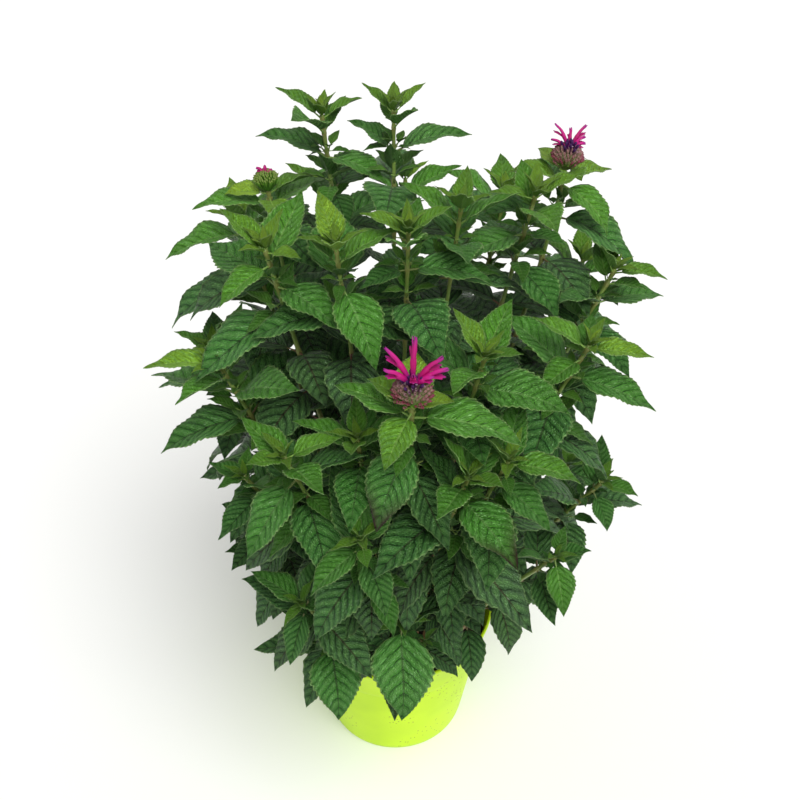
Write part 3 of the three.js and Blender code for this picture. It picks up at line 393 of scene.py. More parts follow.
# A leaf blade is thin and green, toothed and quilted between its sunken veins. Its form is modelled once,
# as a flat sheet with a wall, and each leaf bends its own copy of it to the leaf's rule.
LEAF = {
    "petiole_share": 0.12,
    "shortest_petiole": 5.5,
    "fold": 17,
    "young_fold": 24,
    "young_pairs": 2,
    "least_lift": 36,
    "fullness": 0.62,
    "wall": 0.36,
    "rib_station": 0.42,
    "half_thickness": 0.75,
    "veins": 7.5,
    "vein_slant": 0.27,
    "row_slant": 0.13,
    "tooth": 0.009,
    "quilt": 0.013,
    "curl": 0.022,
    "buckle": 0.007,
    "rib_rise": 0.5,
    "rib_width": 0.06,
    "petiole_half": 1.0,
    "petiole_tip_half": 0.55,
}
COLUMN_PLACES = ((0, 0.25, 0.5, 0.75, 1), (0, 0.09, 0.42, 0.74, 1))


def blade_form(columns, rows):
    """A flat sheet with a wall: for each vertex, its share across, its share along and its face."""
    bpy.ops.object.select_all(action="DESELECT")
    bpy.ops.mesh.primitive_grid_add(x_subdivisions=columns, y_subdivisions=rows, size=1)
    sheet = bpy.context.object
    wall = sheet.modifiers.new("wall", "SOLIDIFY")
    wall.thickness = 0.02
    wall.offset = -1
    bpy.ops.object.modifier_apply(modifier="wall")
    corners = np.array([v.co for v in sheet.data.vertices])
    faces = np.array([tuple(p.vertices) for p in sheet.data.polygons])
    bpy.data.objects.remove(sheet)
    raw = np.clip(corners[:, 0] * 2, -1, 1)
    across = np.sign(raw) * np.interp(np.abs(raw), *COLUMN_PLACES)
    along = np.clip(corners[:, 1] + 0.5, 0, 1)
    tooth = np.where(np.abs(raw) > 0.99, np.where(np.rint(along * rows) % 2 == 0, 1, -1), 0)
    under = (corners[:, 2] < -0.01).astype(float)
    return {"across": across, "along": along, "tooth": tooth, "under": under, "faces": faces}


# Low and small blades have fewer faces, which keeps the whole plant under a million triangles.
FINE_BLADE = blade_form(8, 32)
MEDIUM_BLADE = blade_form(4, 18)
SMALL_BLADE = blade_form(4, 8)


def make_leaf(base, way, length, wide, droop, twist, fold, petiole):
    """A leaf's rule, with angles in degrees: it leaves its base along way, and droops in an upright plane."""
    flat = math.hypot(way[0], way[1])
    return {
        "base": base,
        "heading": np.array((way[0] / flat, way[1] / flat, 0)),
        "rise": math.asin(max(-1, min(1, way[2]))),
        "length": length,
        "width": length * wide,
        "droop": math.radians(droop),
        "twist": math.radians(twist),
        "fold": math.radians(fold),
        "petiole": petiole,
    }


def rib_at(leaf, u):
    """The rib's place, its side and its face, for an array of shares along the leaf."""
    u = np.atleast_1d(np.asarray(u, float))[:, None]
    heading, up = leaf["heading"], np.array((0, 0, 1.0))
    across = np.cross(up, heading)
    bend = leaf["rise"] - leaf["droop"] * u
    run = leaf["length"] * (math.sin(leaf["rise"]) - np.sin(bend)) / leaf["droop"]
    climb = leaf["length"] * (np.cos(bend) - math.cos(leaf["rise"])) / leaf["droop"]
    point = leaf["base"] + heading * run + up * climb
    upright = up * np.cos(bend) - heading * np.sin(bend)
    turn = leaf["twist"] * u
    side = across * np.cos(turn) + upright * np.sin(turn)
    face = upright * np.cos(turn) - across * np.sin(turn)
    return point, side, face


def blade_width(t, fullness=LEAF["fullness"]):
    """Half the blade's width at a share along it, for a leaf whose width is 1."""
    return np.sin(np.pi * t**fullness) * (1 - 0.28 * t * t) * 1.028


def vein_place(t, reach):
    """Where on the rib the vein through a place leaves it: veins leave slanted and arc forward."""
    return t - LEAF["vein_slant"] * blade_width(t) * (0.75 * reach + 0.7 * reach**2)


def blade_points(leaf, form, wave, fullness=LEAF["fullness"], sway=0.0):
    """The blade's vertices, and their shares along it: cut teeth, and quilted relief between the veins."""
    s, t0, size = form["across"], form["along"], leaf["length"]
    reach = np.abs(s)
    inner = np.sin(np.pi * t0)
    t = np.clip(t0 + (LEAF["row_slant"] * reach + LEAF["tooth"] * form["tooth"]) * inner, 0, 1)
    cut = 1 + np.where(form["tooth"] > 0, 0.035, -0.06) * (form["tooth"] != 0) * inner**0.4
    span = leaf["width"] * blade_width(t, fullness)
    point, side, face = rib_at(leaf, leaf["petiole"] + (1 - leaf["petiole"]) * t)
    lift = span * (1.28 * reach - 0.36 * reach**2) * math.sin(leaf["fold"])
    ridge = np.abs(np.sin(np.pi * LEAF["veins"] * vein_place(t, reach))) ** 0.6
    raised = np.sqrt(np.clip(4 * reach * (1.02 - reach), 0, 1)) * inner**0.5
    quilt = LEAF["quilt"] * size * (ridge - 0.6) * raised
    curl = LEAF["curl"] * size * np.sin(2 * np.pi * (2.2 * t + 0.3 * np.sign(s) + wave)) * reach**2 * inner
    buckle = LEAF["buckle"] * size * np.sin(2 * np.pi * (1.7 * t + 0.9 * s + 2 * wave)) * inner * reach
    rib = LEAF["rib_rise"] * np.exp(-((s / LEAF["rib_width"]) ** 2)) * (1 - 0.8 * t0)
    wall = (LEAF["wall"] + rib) * min(1, size / 45 + 0.2)
    height = lift + quilt + curl + buckle - form["under"] * wall
    outwards = s * span * cut * math.cos(leaf["fold"]) + sway * size * inner * t
    return point + side * outwards[:, None] + face * height[:, None], t


# The foliage: each stem is a square stalk with leaves in pairs, each pair across the last, a bud of small
# leaves at its tip, and shoots in its axils. Its place and its leaves follow the rule of its solid.
STALK = {
    "half_base": 2.1,
    "half_tip": 1.05,
    "sunk": 20,
    "root_share": 0.27,
    "low_root_share": 0.14,
    "low_from": 460,
    "low_over": 180,
    "root_reach": 57,
    "knee": 0.42,
    "knee_reach": 0.12,
    "neck": 0.3,
    "steepest": 0.62,
    "points": 49,
    "lean": 0.9,
    "head_lean": 0.3,
    "step": 9,
    "least_step": 0.3,
    "squareness": 7,
    "swelling": 0.5,
    "swelling_reach": 2.2,
    "reddening_reach": 3.5,
    "angles": (0, 32, 58, 90, 122, 148, 180, 212, 238, 270, 302, 328),
}


def named(keys, rows):
    """Each row of values as a dictionary with the same keys, of which a short row lacks the last."""
    return [dict(zip(keys.split(), row)) for row in rows]


# Leaf pairs from the tip down: how far under it, their size, width, lift from the stalk and droop.
PAIRS = named(
    "down size wide lift droop",
    (
        (3, 0.52, 0.25, 40, 10),
        (12, 0.74, 0.26, 54, 16),
        (28, 0.94, 0.27, 64, 26),
        (51, 1, 0.28, 74, 38),
        (81, 1.06, 0.28, 80, 48),
    ),
)
HEAD_PAIRS = named(
    "down size wide lift droop",
    (
        (2.5, 0.42, 0.34, 68, 12),
        (6, 0.5, 0.34, 76, 18),
        (11, 0.66, 0.27, 78, 30),
        (34, 0.86, 0.25, 72, 44),
        (62, 1, 0.26, 78, 54),
    ),
)
# The stems: the place of the tip, the turn of the square stalk, the leaf pairs and the length of a leaf.
STEMS = named(
    "name tip turn pairs leaf head",
    (
        ("tall_left", (-46, 58, 540), 44, 4, 68),
        ("tall_middle", (0, 52, 546), 93, 4, 66),
        ("tall_right", (90, 22, 502), 178, 4, 71),
        ("head_left", (-82, 40, 496), 40, 4, 75, "bud"),
        ("head_right", (112, 52, 505), 88, 4, 70, "open"),
        ("head_front", (11, -112, 441), 63, 5, 75, "full"),
        ("bright_left", (-78, -24, 490), 124, 4, 75),
        ("bright_inner", (-34, -36, 498), 47, 4, 68),
        ("bright_middle", (9, -30, 506), 79, 4, 68),
        ("small_middle", (42, 6, 502), 80, 4, 62),
        ("star_right", (121, -52, 438), 5, 5, 66),
        ("centre_right", (54, -80, 450), 24, 5, 66),
        ("front_left", (-65, -112, 400), 152, 5, 60),
        ("front_inner", (-22, -98, 402), 15, 4, 62),
        ("low_front", (-20, -140, 358), 35, 5, 64),
        ("front_right", (68, -118, 402), 44, 5, 64),
        ("low_middle", (44, -126, 396), 26, 5, 66),
        ("low_right", (106, -112, 312), 150, 3, 46),
        ("side_right", (146, -46, 316), 20, 4, 56),
        ("edge_right", (146, 14, 452), 17, 5, 55),
        ("edge_left", (-112, -42, 416), 125, 5, 68),
        ("low_left", (-62, -122, 276), 84, 4, 62),
        ("side_left", (-98, -78, 352), 10, 4, 47),
        ("back_left", (-112, 88, 448), 141, 5, 75),
        ("back_inner", (-50, 124, 452), 66, 4, 75),
        ("back_middle", (8, 132, 458), 12, 4, 60),
        ("back_right", (82, 118, 452), 50, 5, 75),
        ("back_edge", (138, 78, 420), 74, 5, 68),
        ("low_back_edge", (-132, 34, 372), 0, 5, 62),
        ("low_back_left", (-96, 116, 318), 58, 4, 75),
        ("low_back", (2, 148, 330), 28, 4, 75),
        ("low_back_right", (100, 116, 316), 81, 4, 75),
        ("skirt_left", (-106, -36, 270), 28, 4, 48),
        ("skirt_back_left", (-116, 68, 254), 44, 4, 68),
        ("skirt_right", (138, 30, 262), 62, 4, 60),
        ("skirt_front", (5, -108, 240), 10, 3, 70),
        ("rim_left", (-46, -106, 216), 20, 3, 75),
        ("rim_right", (86, -22, 222), 70, 2, 50),
        ("rim_back", (44, 112, 222), 35, 3, 75),
        ("rim_back_left", (-62, 102, 214), 80, 3, 75),
        ("rim_front", (22, -104, 212), 50, 2, 44),
        ("rim_side_left", (-108, -10, 208), 25, 2, 58),
        ("rim_side_right", (104, -4, 204), 65, 2, 60),
        ("rim_back_inner", (-12, 114, 202), 10, 2, 78),
    ),
)
# The leaves that show, set against the view, to whole 5 mm: for each stem the pair, the place of the tip, the
# droop in degrees, and the width as a share of the length.
SHOWN = {
    "tall_left": (
        (0, (-75, 65, 555), 20, 0.26), (0, (-20, 60, 550), 20, 0.26), (1, (-35, 70, 550), 14, 0.24),
        (2, (-90, 40, 515), 40, 0.27), (2, (-5, 30, 505), 40, 0.27), (3, (-30, 25, 475), 50, 0.3),
    ),
    "tall_middle": (
        (0, (-20, 60, 560), 8, 0.24), (0, (20, 60, 560), 8, 0.24), (1, (15, 30, 555), 20, 0.26),
        (1, (-5, 65, 555), 10, 0.24), (2, (50, 50, 530), 40, 0.27), (2, (-30, 60, 535), 40, 0.27),
    ),
    "tall_right": (
        (0, (60, 20, 505), 20, 0.26), (0, (120, 25, 515), 24, 0.26), (1, (80, 45, 525), 24, 0.26),
        (2, (110, 5, 475), 34, 0.27), (2, (30, 5, 470), 34, 0.26), (3, (105, -20, 435), 40, 0.3),
    ),
    "head_right": (
        (2, (140, 25, 470), 60, 0.27), (3, (165, 30, 445), 60, 0.27),
    ),
    "edge_right": (
        (0, (180, 10, 450), 34, 0.26), (1, (165, 0, 445), 30, 0.26),
    ),
    "star_right": (
        (0, (85, -45, 455), 16, 0.27), (0, (160, -60, 435), 16, 0.26), (1, (140, -30, 465), 20, 0.3),
        (1, (90, -75, 420), 20, 0.3), (2, (165, -70, 400), 26, 0.27),
    ),
    "centre_right": (
        (0, (35, -65, 475), 18, 0.25), (0, (75, -90, 460), 24, 0.26), (1, (80, -55, 470), 24, 0.28),
    ),
    "head_front": (
        (0, (-15, -100, 450), 14, 0.36), (0, (35, -115, 445), 14, 0.34), (1, (30, -80, 455), 16, 0.32),
        (1, (-5, -140, 415), 20, 0.33), (2, (75, -125, 420), 40, 0.26), (3, (-10, -145, 370), 36, 0.3),
        (4, (75, -145, 340), 30, 0.26),
    ),
    "front_left": (
        (0, (-30, -105, 410), 24, 0.26), (2, (-90, -140, 340), 30, 0.26),
    ),
    "edge_left": (
        (0, (-160, -45, 415), 44, 0.22), (3, (-155, -60, 355), 34, 0.27),
    ),
    "bright_left": (
        (0, (-105, -10, 510), 16, 0.27), (0, (-55, -35, 490), 20, 0.28), (1, (-45, 0, 515), 20, 0.29),
        (1, (-105, -50, 465), 30, 0.28), (2, (-20, -45, 455), 34, 0.26), (3, (-125, -60, 415), 40, 0.28),
    ),
    "bright_inner": (
        (0, (-45, -15, 525), 16, 0.27), (1, (5, -25, 505), 30, 0.27), (1, (-55, -30, 505), 20, 0.27),
        (2, (-10, -80, 440), 34, 0.27), (3, (25, -50, 440), 34, 0.27),
    ),
    "bright_middle": (
        (0, (35, -25, 520), 20, 0.27), (0, (-20, -25, 515), 20, 0.27), (1, (5, -10, 520), 12, 0.27),
        (2, (-20, -45, 475), 34, 0.3), (2, (60, -40, 475), 40, 0.3),
    ),
    "head_left": (
        (2, (-130, 25, 490), 44, 0.26),
    ),
    "back_left": (
        (1, (-165, 70, 425), 40, 0.27), (3, (-165, 55, 375), 70, 0.24),
    ),
    "low_front": (
        (0, (-30, -130, 375), 10, 0.25), (0, (-15, -155, 350), 10, 0.3), (1, (-50, -160, 330), 16, 0.27),
        (2, (-5, -160, 310), 24, 0.27), (3, (-50, -155, 280), 30, 0.3), (4, (-15, -140, 260), 30, 0.36),
    ),
    "low_left": (
        (0, (-95, -110, 295), 30, 0.27), (1, (-70, -145, 240), 40, 0.25),
        (2, (-15, -145, 225), 30, 0.29), (3, (-85, -125, 205), 44, 0.28),
    ),
    "rim_left": (
        (0, (-40, -145, 175), 34, 0.36), (2, (-50, -130, 170), 34, 0.28),
    ),
    "skirt_front": (
        (0, (5, -155, 190), 30, 0.36),
    ),
    "low_middle": (
        (4, (90, -145, 275), 24, 0.26),
    ),
    "front_right": (
        (0, (110, -130, 395), 30, 0.26), (1, (70, -130, 385), 30, 0.27), (2, (95, -135, 360), 40, 0.28),
    ),
    "side_right": (
        (0, (170, -55, 310), 20, 0.3), (1, (150, -65, 285), 30, 0.3),
    ),
    "low_right": (
        (0, (110, -140, 285), 30, 0.28), (1, (130, -110, 310), 24, 0.3),
    ),
}
# A leaf's tries, in turn: shares of its length, then changes of its lift and of its swing, in degrees.
SHRINKS = (1, 0.88, 0.76, 0.64, 0.5)
LIFTS = (0, -9, 9, -18, 18, -28)
SWINGS = (0, 9, -9, 18, -18, 28, -28)
UP = np.array((0, 0, 1.0))


def unit(v):
    return v / np.linalg.norm(v)


def turned_about(v, axis, angle):
    return v * math.cos(angle) + np.cross(axis, v) * math.sin(angle)


def stalk_of(stem):
    """A stalk lies in the upright plane through its root and its tip, as a smooth curve."""
    tip = np.array(stem["tip"], float)
    reach = math.hypot(tip[0], tip[1])
    heading = np.array((tip[0] / reach, tip[1] / reach, 0))
    low = max(0, min(1, (STALK["low_from"] - tip[2]) / STALK["low_over"]))
    root_share = STALK["root_share"] + STALK["low_root_share"] * low
    root = heading * min(reach * root_share, STALK["root_reach"])
    root[2] = SOIL["level"] - STALK["sunk"]
    rise = tip[2] - root[2]
    lean = STALK["head_lean"] if "head" in stem else STALK["lean"]
    tip_way = unit(UP + heading * min(STALK["steepest"], reach / rise) * lean)
    knee = root + UP * rise * STALK["knee"] + heading * reach * STALK["knee_reach"]
    neck = tip - tip_way * rise * STALK["neck"]
    t = np.linspace(0, 1, STALK["points"])[:, None]
    line = (1 - t) ** 3 * root + 3 * (1 - t) ** 2 * t * knee + 3 * (1 - t) * t * t * neck + t**3 * tip
    steps = np.linalg.norm(np.diff(line, axis=0), axis=1)
    lengths = np.concatenate(([0], np.cumsum(steps)))
    side, turn = np.cross(UP, heading), math.radians(stem["turn"])
    return {"line": line, "lengths": lengths, "total": lengths[-1], "side": side, "turn": turn}


def place_on(stalk, along):
    """The place on a stalk, its way onwards, and the two directions that its sides face."""
    line, lengths = stalk["line"], stalk["lengths"]
    s = max(0, min(stalk["total"], along))
    i = min(max(1, int(np.searchsorted(lengths[:-1], s, side="left"))), len(lengths) - 1)
    share = (s - lengths[i - 1]) / (lengths[i] - lengths[i - 1])
    point = line[i - 1] * (1 - share) + line[i] * share
    way = unit(line[i] - line[i - 1])
    first = turned_about(np.cross(stalk["side"], way), way, stalk["turn"])
    return point, way, first, np.cross(way, first)


def rows_of(stem):
    """The leaf pairs of a stem, which are closer to the tip where it ends in a flower head."""
    return HEAD_PAIRS if "head" in stem else PAIRS


def node_of(stem, pair):
    """The place on its stalk where a leaf pair stands."""
    return place_on(stem["stalk"], stem["stalk"]["total"] - rows_of(stem)[pair]["down"])


def out_of(at, azimuth):
    """The direction out of a stalk at an angle round it, in degrees, from the side of its first leaf."""
    angle = math.radians(azimuth)
    return at[2] * math.cos(angle) + at[3] * math.sin(angle)


def leaning(at, azimuth, angle):
    """The direction that leans out of a stalk by an angle, at an angle round it, both in degrees."""
    angle = math.radians(angle)
    return at[1] * math.cos(angle) + out_of(at, azimuth) * math.sin(angle)


def pair_leaf(pair, base, way, length, droop, twist, wide):
    """A leaf of a pair, counted from the tip. Young ones are folded more, and a petiole has a least length."""
    petiole = max(LEAF["petiole_share"], LEAF["shortest_petiole"] / length)
    fold = LEAF["young_fold"] if pair < LEAF["young_pairs"] else LEAF["fold"]
    return make_leaf(base, way, length, wide, droop, twist, fold, petiole)


def leaf_at(stem, pair, hand, draws, shrink, lift_change, swing_change):
    """A leaf of a pair, as drawn and as changed to stand clear of its neighbours."""
    row = rows_of(stem)[pair]
    at = node_of(stem, pair)
    swing, lift, size, droop, twist, wide = draws
    angle = max(LEAF["least_lift"], row["lift"] + lift + lift_change)
    way = leaning(at, 90 * pair + 180 * hand + swing + swing_change, angle)
    length = stem["leaf"] * row["size"] * size * shrink
    return pair_leaf(pair, at[0], way, length, row["droop"] + droop, twist, row["wide"] * wide)


def shown_leaf_at(stem, shown, shrink, lift_change, swing_change):
    """A leaf that shows: its rib is an arc from its stalk to the place of its tip."""
    base = node_of(stem, shown["pair"])[0]
    chord = np.array(shown["tip"]) - base
    reach, half = np.linalg.norm(chord), math.radians(shown["droop"] / 2)
    rise = math.asin(chord[2] / reach) + half - math.radians(lift_change)
    heading = turned_about(unit(chord * (1, 1, 0)), UP, math.radians(swing_change))
    way = heading * math.cos(rise) + UP * math.sin(rise)
    length = reach * half / math.sin(half) * shrink
    return pair_leaf(shown["pair"], base, way, length, shown["droop"], 0, shown["wide"])


def draws_for(index, pair, hand):
    """A leaf's own changes of swing, lift, size, droop, twist and width."""
    draw = chance(index * 40 + pair * 2 + hand + 1)
    return [draw(*span) for span in ((-11, 11), (-7, 7), (0.9, 1.08), (-6, 14), (-26, 26), (0.9, 1.08))]


def first_built(corners, leaf_for):
    """Of a leaf's tries, the one whose tip and rib the solid has."""
    near = 0.05 * MM
    for change in ((a, b, c) for a in SHRINKS for b in LIFTS for c in SWINGS):
        leaf = leaf_for(*change)
        tip = rib_at(leaf, 1)[0][0]
        middle = rib_at(leaf, leaf["petiole"] + (1 - leaf["petiole"]) * LEAF["rib_station"])
        crown = middle[0][0] + middle[2][0] * LEAF["half_thickness"]
        if corners.find(tip * MM)[2] < near and corners.find(crown * MM)[2] < near:
            return leaf
    return None


def corners_of(solid):
    """A search tree of a solid's vertices."""
    tree = KDTree(len(solid.vertices))
    for vertex in solid.vertices:
        tree.insert(vertex.co, vertex.index)
    tree.balance()
    return tree


def solid_leaves(stem, index):
    """The leaves of a stem's solid: first those that show, then the others of its pairs."""
    corners = corners_of(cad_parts["stem_" + stem["name"]].data)
    found = {}
    for shown in named("pair tip droop wide", SHOWN.get(stem["name"], ())):
        leaf = first_built(corners, lambda *change: shown_leaf_at(stem, shown, *change))
        if leaf:
            out = out_of(node_of(stem, shown["pair"]), 90 * shown["pair"])
            facing = np.array(shown["tip"]) - leaf["base"]
            found[shown["pair"], 0 if facing @ out > 0 else 1] = leaf
    for pair in range(stem["pairs"]):
        for hand in (0, 1):
            draws = draws_for(index, pair, hand)
            if (pair, hand) not in found:
                leaf = first_built(corners, lambda *change: leaf_at(stem, pair, hand, draws, *change))
                if leaf:
                    found[pair, hand] = leaf
    return [(pair, hand, leaf) for (pair, hand), leaf in sorted(found.items(), key=lambda one: one[0])]


def outline_patch(leaf):
    """The blade as a few flat patches, which is enough to tell whether it meets its neighbours."""
    t = np.array((0.04, 0.25, 0.5, 0.75, 0.97))
    point, side, face = rib_at(leaf, leaf["petiole"] + (1 - leaf["petiole"]) * t)
    wide = (leaf["width"] * blade_width(t))[:, None]
    lift = face * wide * math.sin(leaf["fold"])
    spread = side * wide * math.cos(leaf["fold"])
    points = np.concatenate((point + spread + lift, point, point - spread + lift))
    faces = [(k + 5 * j, k + 1 + 5 * j, k + 6 + 5 * j, k + 5 + 5 * j) for j in (0, 1) for k in range(4)]
    return points, faces


def stalk_patch(stalk):
    """The stalk as two crossed ribbons."""
    line, half = stalk["line"][::2], 2.4
    points, faces = [], []
    for across in (stalk["side"], np.cross(stalk["side"], UP)):
        for k in range(len(line) - 1):
            a = len(points) + 2 * k
            faces.append((a, a + 1, a + 3, a + 2))
        points += [p + across * h for p in line for h in (half, -half)]
    return np.array(points), faces


class Neighbours:
    """What stands where: each blade and stalk, with the box that it fills. Stalks have an owner."""

    margin = 0.5

    def __init__(self):
        self.low, self.high, self.trees, self.owners = [], [], [], []

    def add(self, patch, owner=None):
        points, faces = patch
        self.low.append(points.min(0) - self.margin)
        self.high.append(points.max(0) + self.margin)
        self.trees.append(BVHTree.FromPolygons(points.tolist(), faces))
        self.owners.append(owner)

    def meets(self, patch, owner=None):
        """Whether it crosses what has another owner, so without an owner it is held against stalks alone."""
        points, faces = patch
        above = np.all(np.array(self.low) < points.max(0), axis=1)
        below = np.all(np.array(self.high) > points.min(0), axis=1)
        tree = BVHTree.FromPolygons(points.tolist(), faces)
        near = np.flatnonzero(above & below)
        return any(self.owners[i] != owner and tree.overlap(self.trees[i]) for i in near)


# How far blades keep from the pot's rim, upwards and outwards, and from the middle of a flower head.
ABOVE_POT, AROUND_POT = 2, 2.5
HEAD_ROOM, HEAD_MIDDLE = 19, 12


def in_the_way(points):
    """Whether a blade leaves the plant's box, or reaches the pot's wall, the soil or a flower head."""
    if (points < plant_low).any() or (points > plant_high).any():
        return True
    radius = np.hypot(points[:, 0], points[:, 1])
    if ((points[:, 2] < POT["height"] + ABOVE_POT) & (radius < POT["rim"] + AROUND_POT)).any():
        return True
    return any((np.linalg.norm(points - head, axis=1) < HEAD_ROOM).any() for head in head_centres)


plant_low, plant_high = (np.array(corner) / MM for corner in solid_box)
head_centres = []
neighbours = Neighbours()
for index, stem in enumerate(STEMS):
    stem["stalk"] = stalk_of(stem)
    stem["leaves"] = solid_leaves(stem, index)
    neighbours.add(stalk_patch(stem["stalk"]), stem["name"])
    if "head" in stem:
        top, top_way, _, _ = place_on(stem["stalk"], stem["stalk"]["total"])
        head_centres.append(top + top_way * HEAD_MIDDLE)
    for _, _, leaf in stem["leaves"]:
        neighbours.add(outline_patch(leaf))


class Surfaces:
    """The surfaces of a piece as they are added, with the values at their corners that its finish reads."""

    def __init__(self):
        self.points, self.faces, self.values, self.count = [], [], [], 0

    def add(self, points, faces, *values):
        self.points.append(points)
        self.faces += [[self.count + int(i) for i in face] for face in faces]
        self.values.append(np.column_stack([np.broadcast_to(v, len(points)) for v in values]))
        self.count += len(points)

    def piece(self, name, foot=(0, 0, 0), axes=np.eye(3)):
        """The piece and its corners' values. Its places are counted from a foot, along three axes."""
        points = (np.array(foot) + np.vstack(self.points) @ axes) * MM
        piece = new_piece(name, points, self.faces)
        piece.data.shade_smooth()
        return piece, np.vstack(self.values)


def set_values(piece, **columns):
    """Gives the corners of a piece values that its finish reads by name."""
    for name, column in columns.items():
        attribute = piece.data.attributes.new(name, "FLOAT", "POINT")
        attribute.data.foreach_set("value", np.ascontiguousarray(column))


def leafy_piece(surfaces, name):
    """A stem's piece, with its blades' map, and the age, tint, blush and side of each leaf as one colour."""
    piece, values = surfaces.piece(name)
    mesh = piece.data
    corners = np.zeros(len(mesh.loops), np.int32)
    mesh.loops.foreach_get("vertex_index", corners)
    mesh.uv_layers.new(name="blade_map").data.foreach_set("uv", values[corners, :2].ravel())
    colours = mesh.attributes.new("traits", "FLOAT_COLOR", "POINT")
    colours.data.foreach_set("color", values[:, 2:6].ravel())
    set_values(piece, stalk=values[:, 6])
    return piece


def tube(centres, firsts, seconds, radii, sides, squareness=2, angles=None):
    """A closed tube of quads through its centres: round, or square with rounded edges."""
    turn = np.arange(sides) * math.tau / sides if angles is None else np.radians(angles)
    c, s = np.cos(turn), np.sin(turn)
    reach = (np.abs(c) ** squareness + np.abs(s) ** squareness) ** (-1 / squareness)
    rings = []
    for centre, first, second, radius in zip(centres, firsts, seconds, radii):
        rings.append(centre + radius * reach[:, None] * (first * c[:, None] + second * s[:, None]))
    faces = ring_quads(len(rings), sides)
    top = (len(rings) - 1) * sides
    for i in range(1, sides - 2, 2):
        faces.append((0, i + 2, i + 1, i))
        faces.append((top, top + i, top + i + 1, top + i + 2))
    return np.vstack(rings), faces


def add_leaf(surfaces, leaf, form, draw, age, blush=0.0):
    """A blade on its petiole, which runs on under the blade as the start of the rib."""
    tint, wave = draw(0, 1), draw(0, 1)
    points, along = blade_points(leaf, form, wave, 0.63 + draw(0, 0.06) + 0.05 * age, draw(-0.05, 0.05))
    across = form["across"] * 0.5 + 0.5
    origin = vein_place(along, np.abs(form["across"]))
    surfaces.add(points, form["faces"], across, origin, age, tint, blush, form["under"], 0)
    stations, sides = (5, 6) if form is FINE_BLADE else (3, 4)
    shares = np.linspace(0, leaf["petiole"] * 1.25, stations)
    centre, side, face = rib_at(leaf, shares)
    thick = min(1, leaf["length"] / 60 + 0.15)
    ends = (LEAF["petiole_half"] * thick, LEAF["petiole_tip_half"] * thick)
    radii = np.interp(shares, (0, shares[-1]), ends)
    points, faces = tube(centre - face * 0.35 * thick, side, face, radii, sides)
    surfaces.add(points, faces, 0.5, 0.5, age, tint, blush, 0, 0.6)


def add_stalk(surfaces, stem):
    """The square stalk, a little thicker where each leaf pair stands."""
    stalk = stem["stalk"]
    total, sides = stalk["total"], len(STALK["angles"])
    nodes = np.array([total - row["down"] for row in rows_of(stem)[: stem["pairs"]]] + stem["lower_nodes"])
    stops = (np.arange(0, total, STALK["step"]), nodes, nodes - 2, nodes + 2, [total])
    stops = np.unique(np.concatenate(stops))
    stops = stops[(stops >= 0) & (stops <= total)]
    stops = stops[np.concatenate(([True], np.diff(stops) > STALK["least_step"]))]
    centres, _, firsts, seconds = (np.array(column) for column in zip(*[place_on(stalk, s) for s in stops]))
    radii = np.interp(stops, (0, total), (STALK["half_base"], STALK["half_tip"]))
    nearest = np.abs(stops[:, None] - nodes[None, :]).min(1)
    radii = radii + STALK["swelling"] * np.exp(-((nearest / STALK["swelling_reach"]) ** 2))
    points, faces = tube(centres, firsts, seconds, radii, sides, STALK["squareness"], STALK["angles"])
    node_share = np.repeat(np.exp(-((nearest / STALK["reddening_reach"]) ** 2)), sides)
    low = np.repeat(1 - stops / total, sides)
    surfaces.add(points, faces, 0.5, 0.5, low, 0.5, node_share, 0, 1)


# A bud's pairs: how far each stands under the tip, its size, its lift and its age.
BUD_PAIRS = ((2.2, 0.36, 42, 0.04), (1.4, 0.28, 26, 0.02), (0.8, 0.21, 17, 0), (0.3, 0.14, 9, 0))


def add_bud(surfaces, stem, draw):
    """The growing tip: pairs of small upright leaves, each folded round the next."""
    for k, (down, size, lift, age) in enumerate(BUD_PAIRS):
        at = place_on(stem["stalk"], stem["stalk"]["total"] - down)
        for hand in (0, 1):
            way = leaning(at, 90 * (k + 1) + 180 * hand + draw(-8, 8), lift + draw(-4, 4))
            length = stem["leaf"] * size * draw(0.9, 1.1)
            leaf = make_leaf(at[0], way, length, wide=0.2, droop=24, twist=0, fold=30, petiole=0.1)
            form = MEDIUM_BLADE if k == 0 else SMALL_BLADE
            add_leaf(surfaces, leaf, form, draw, 0.3 * stem["older"] + age)


# The shoots by leaf pair: the twig's length, its leaves' length, and the number of their pairs.
SHOOTS = ((0, 0, 0), (2.5, 9, 1), (5, 14, 2), (9, 22, 2), (14, 28, 2), (16, 30, 2))


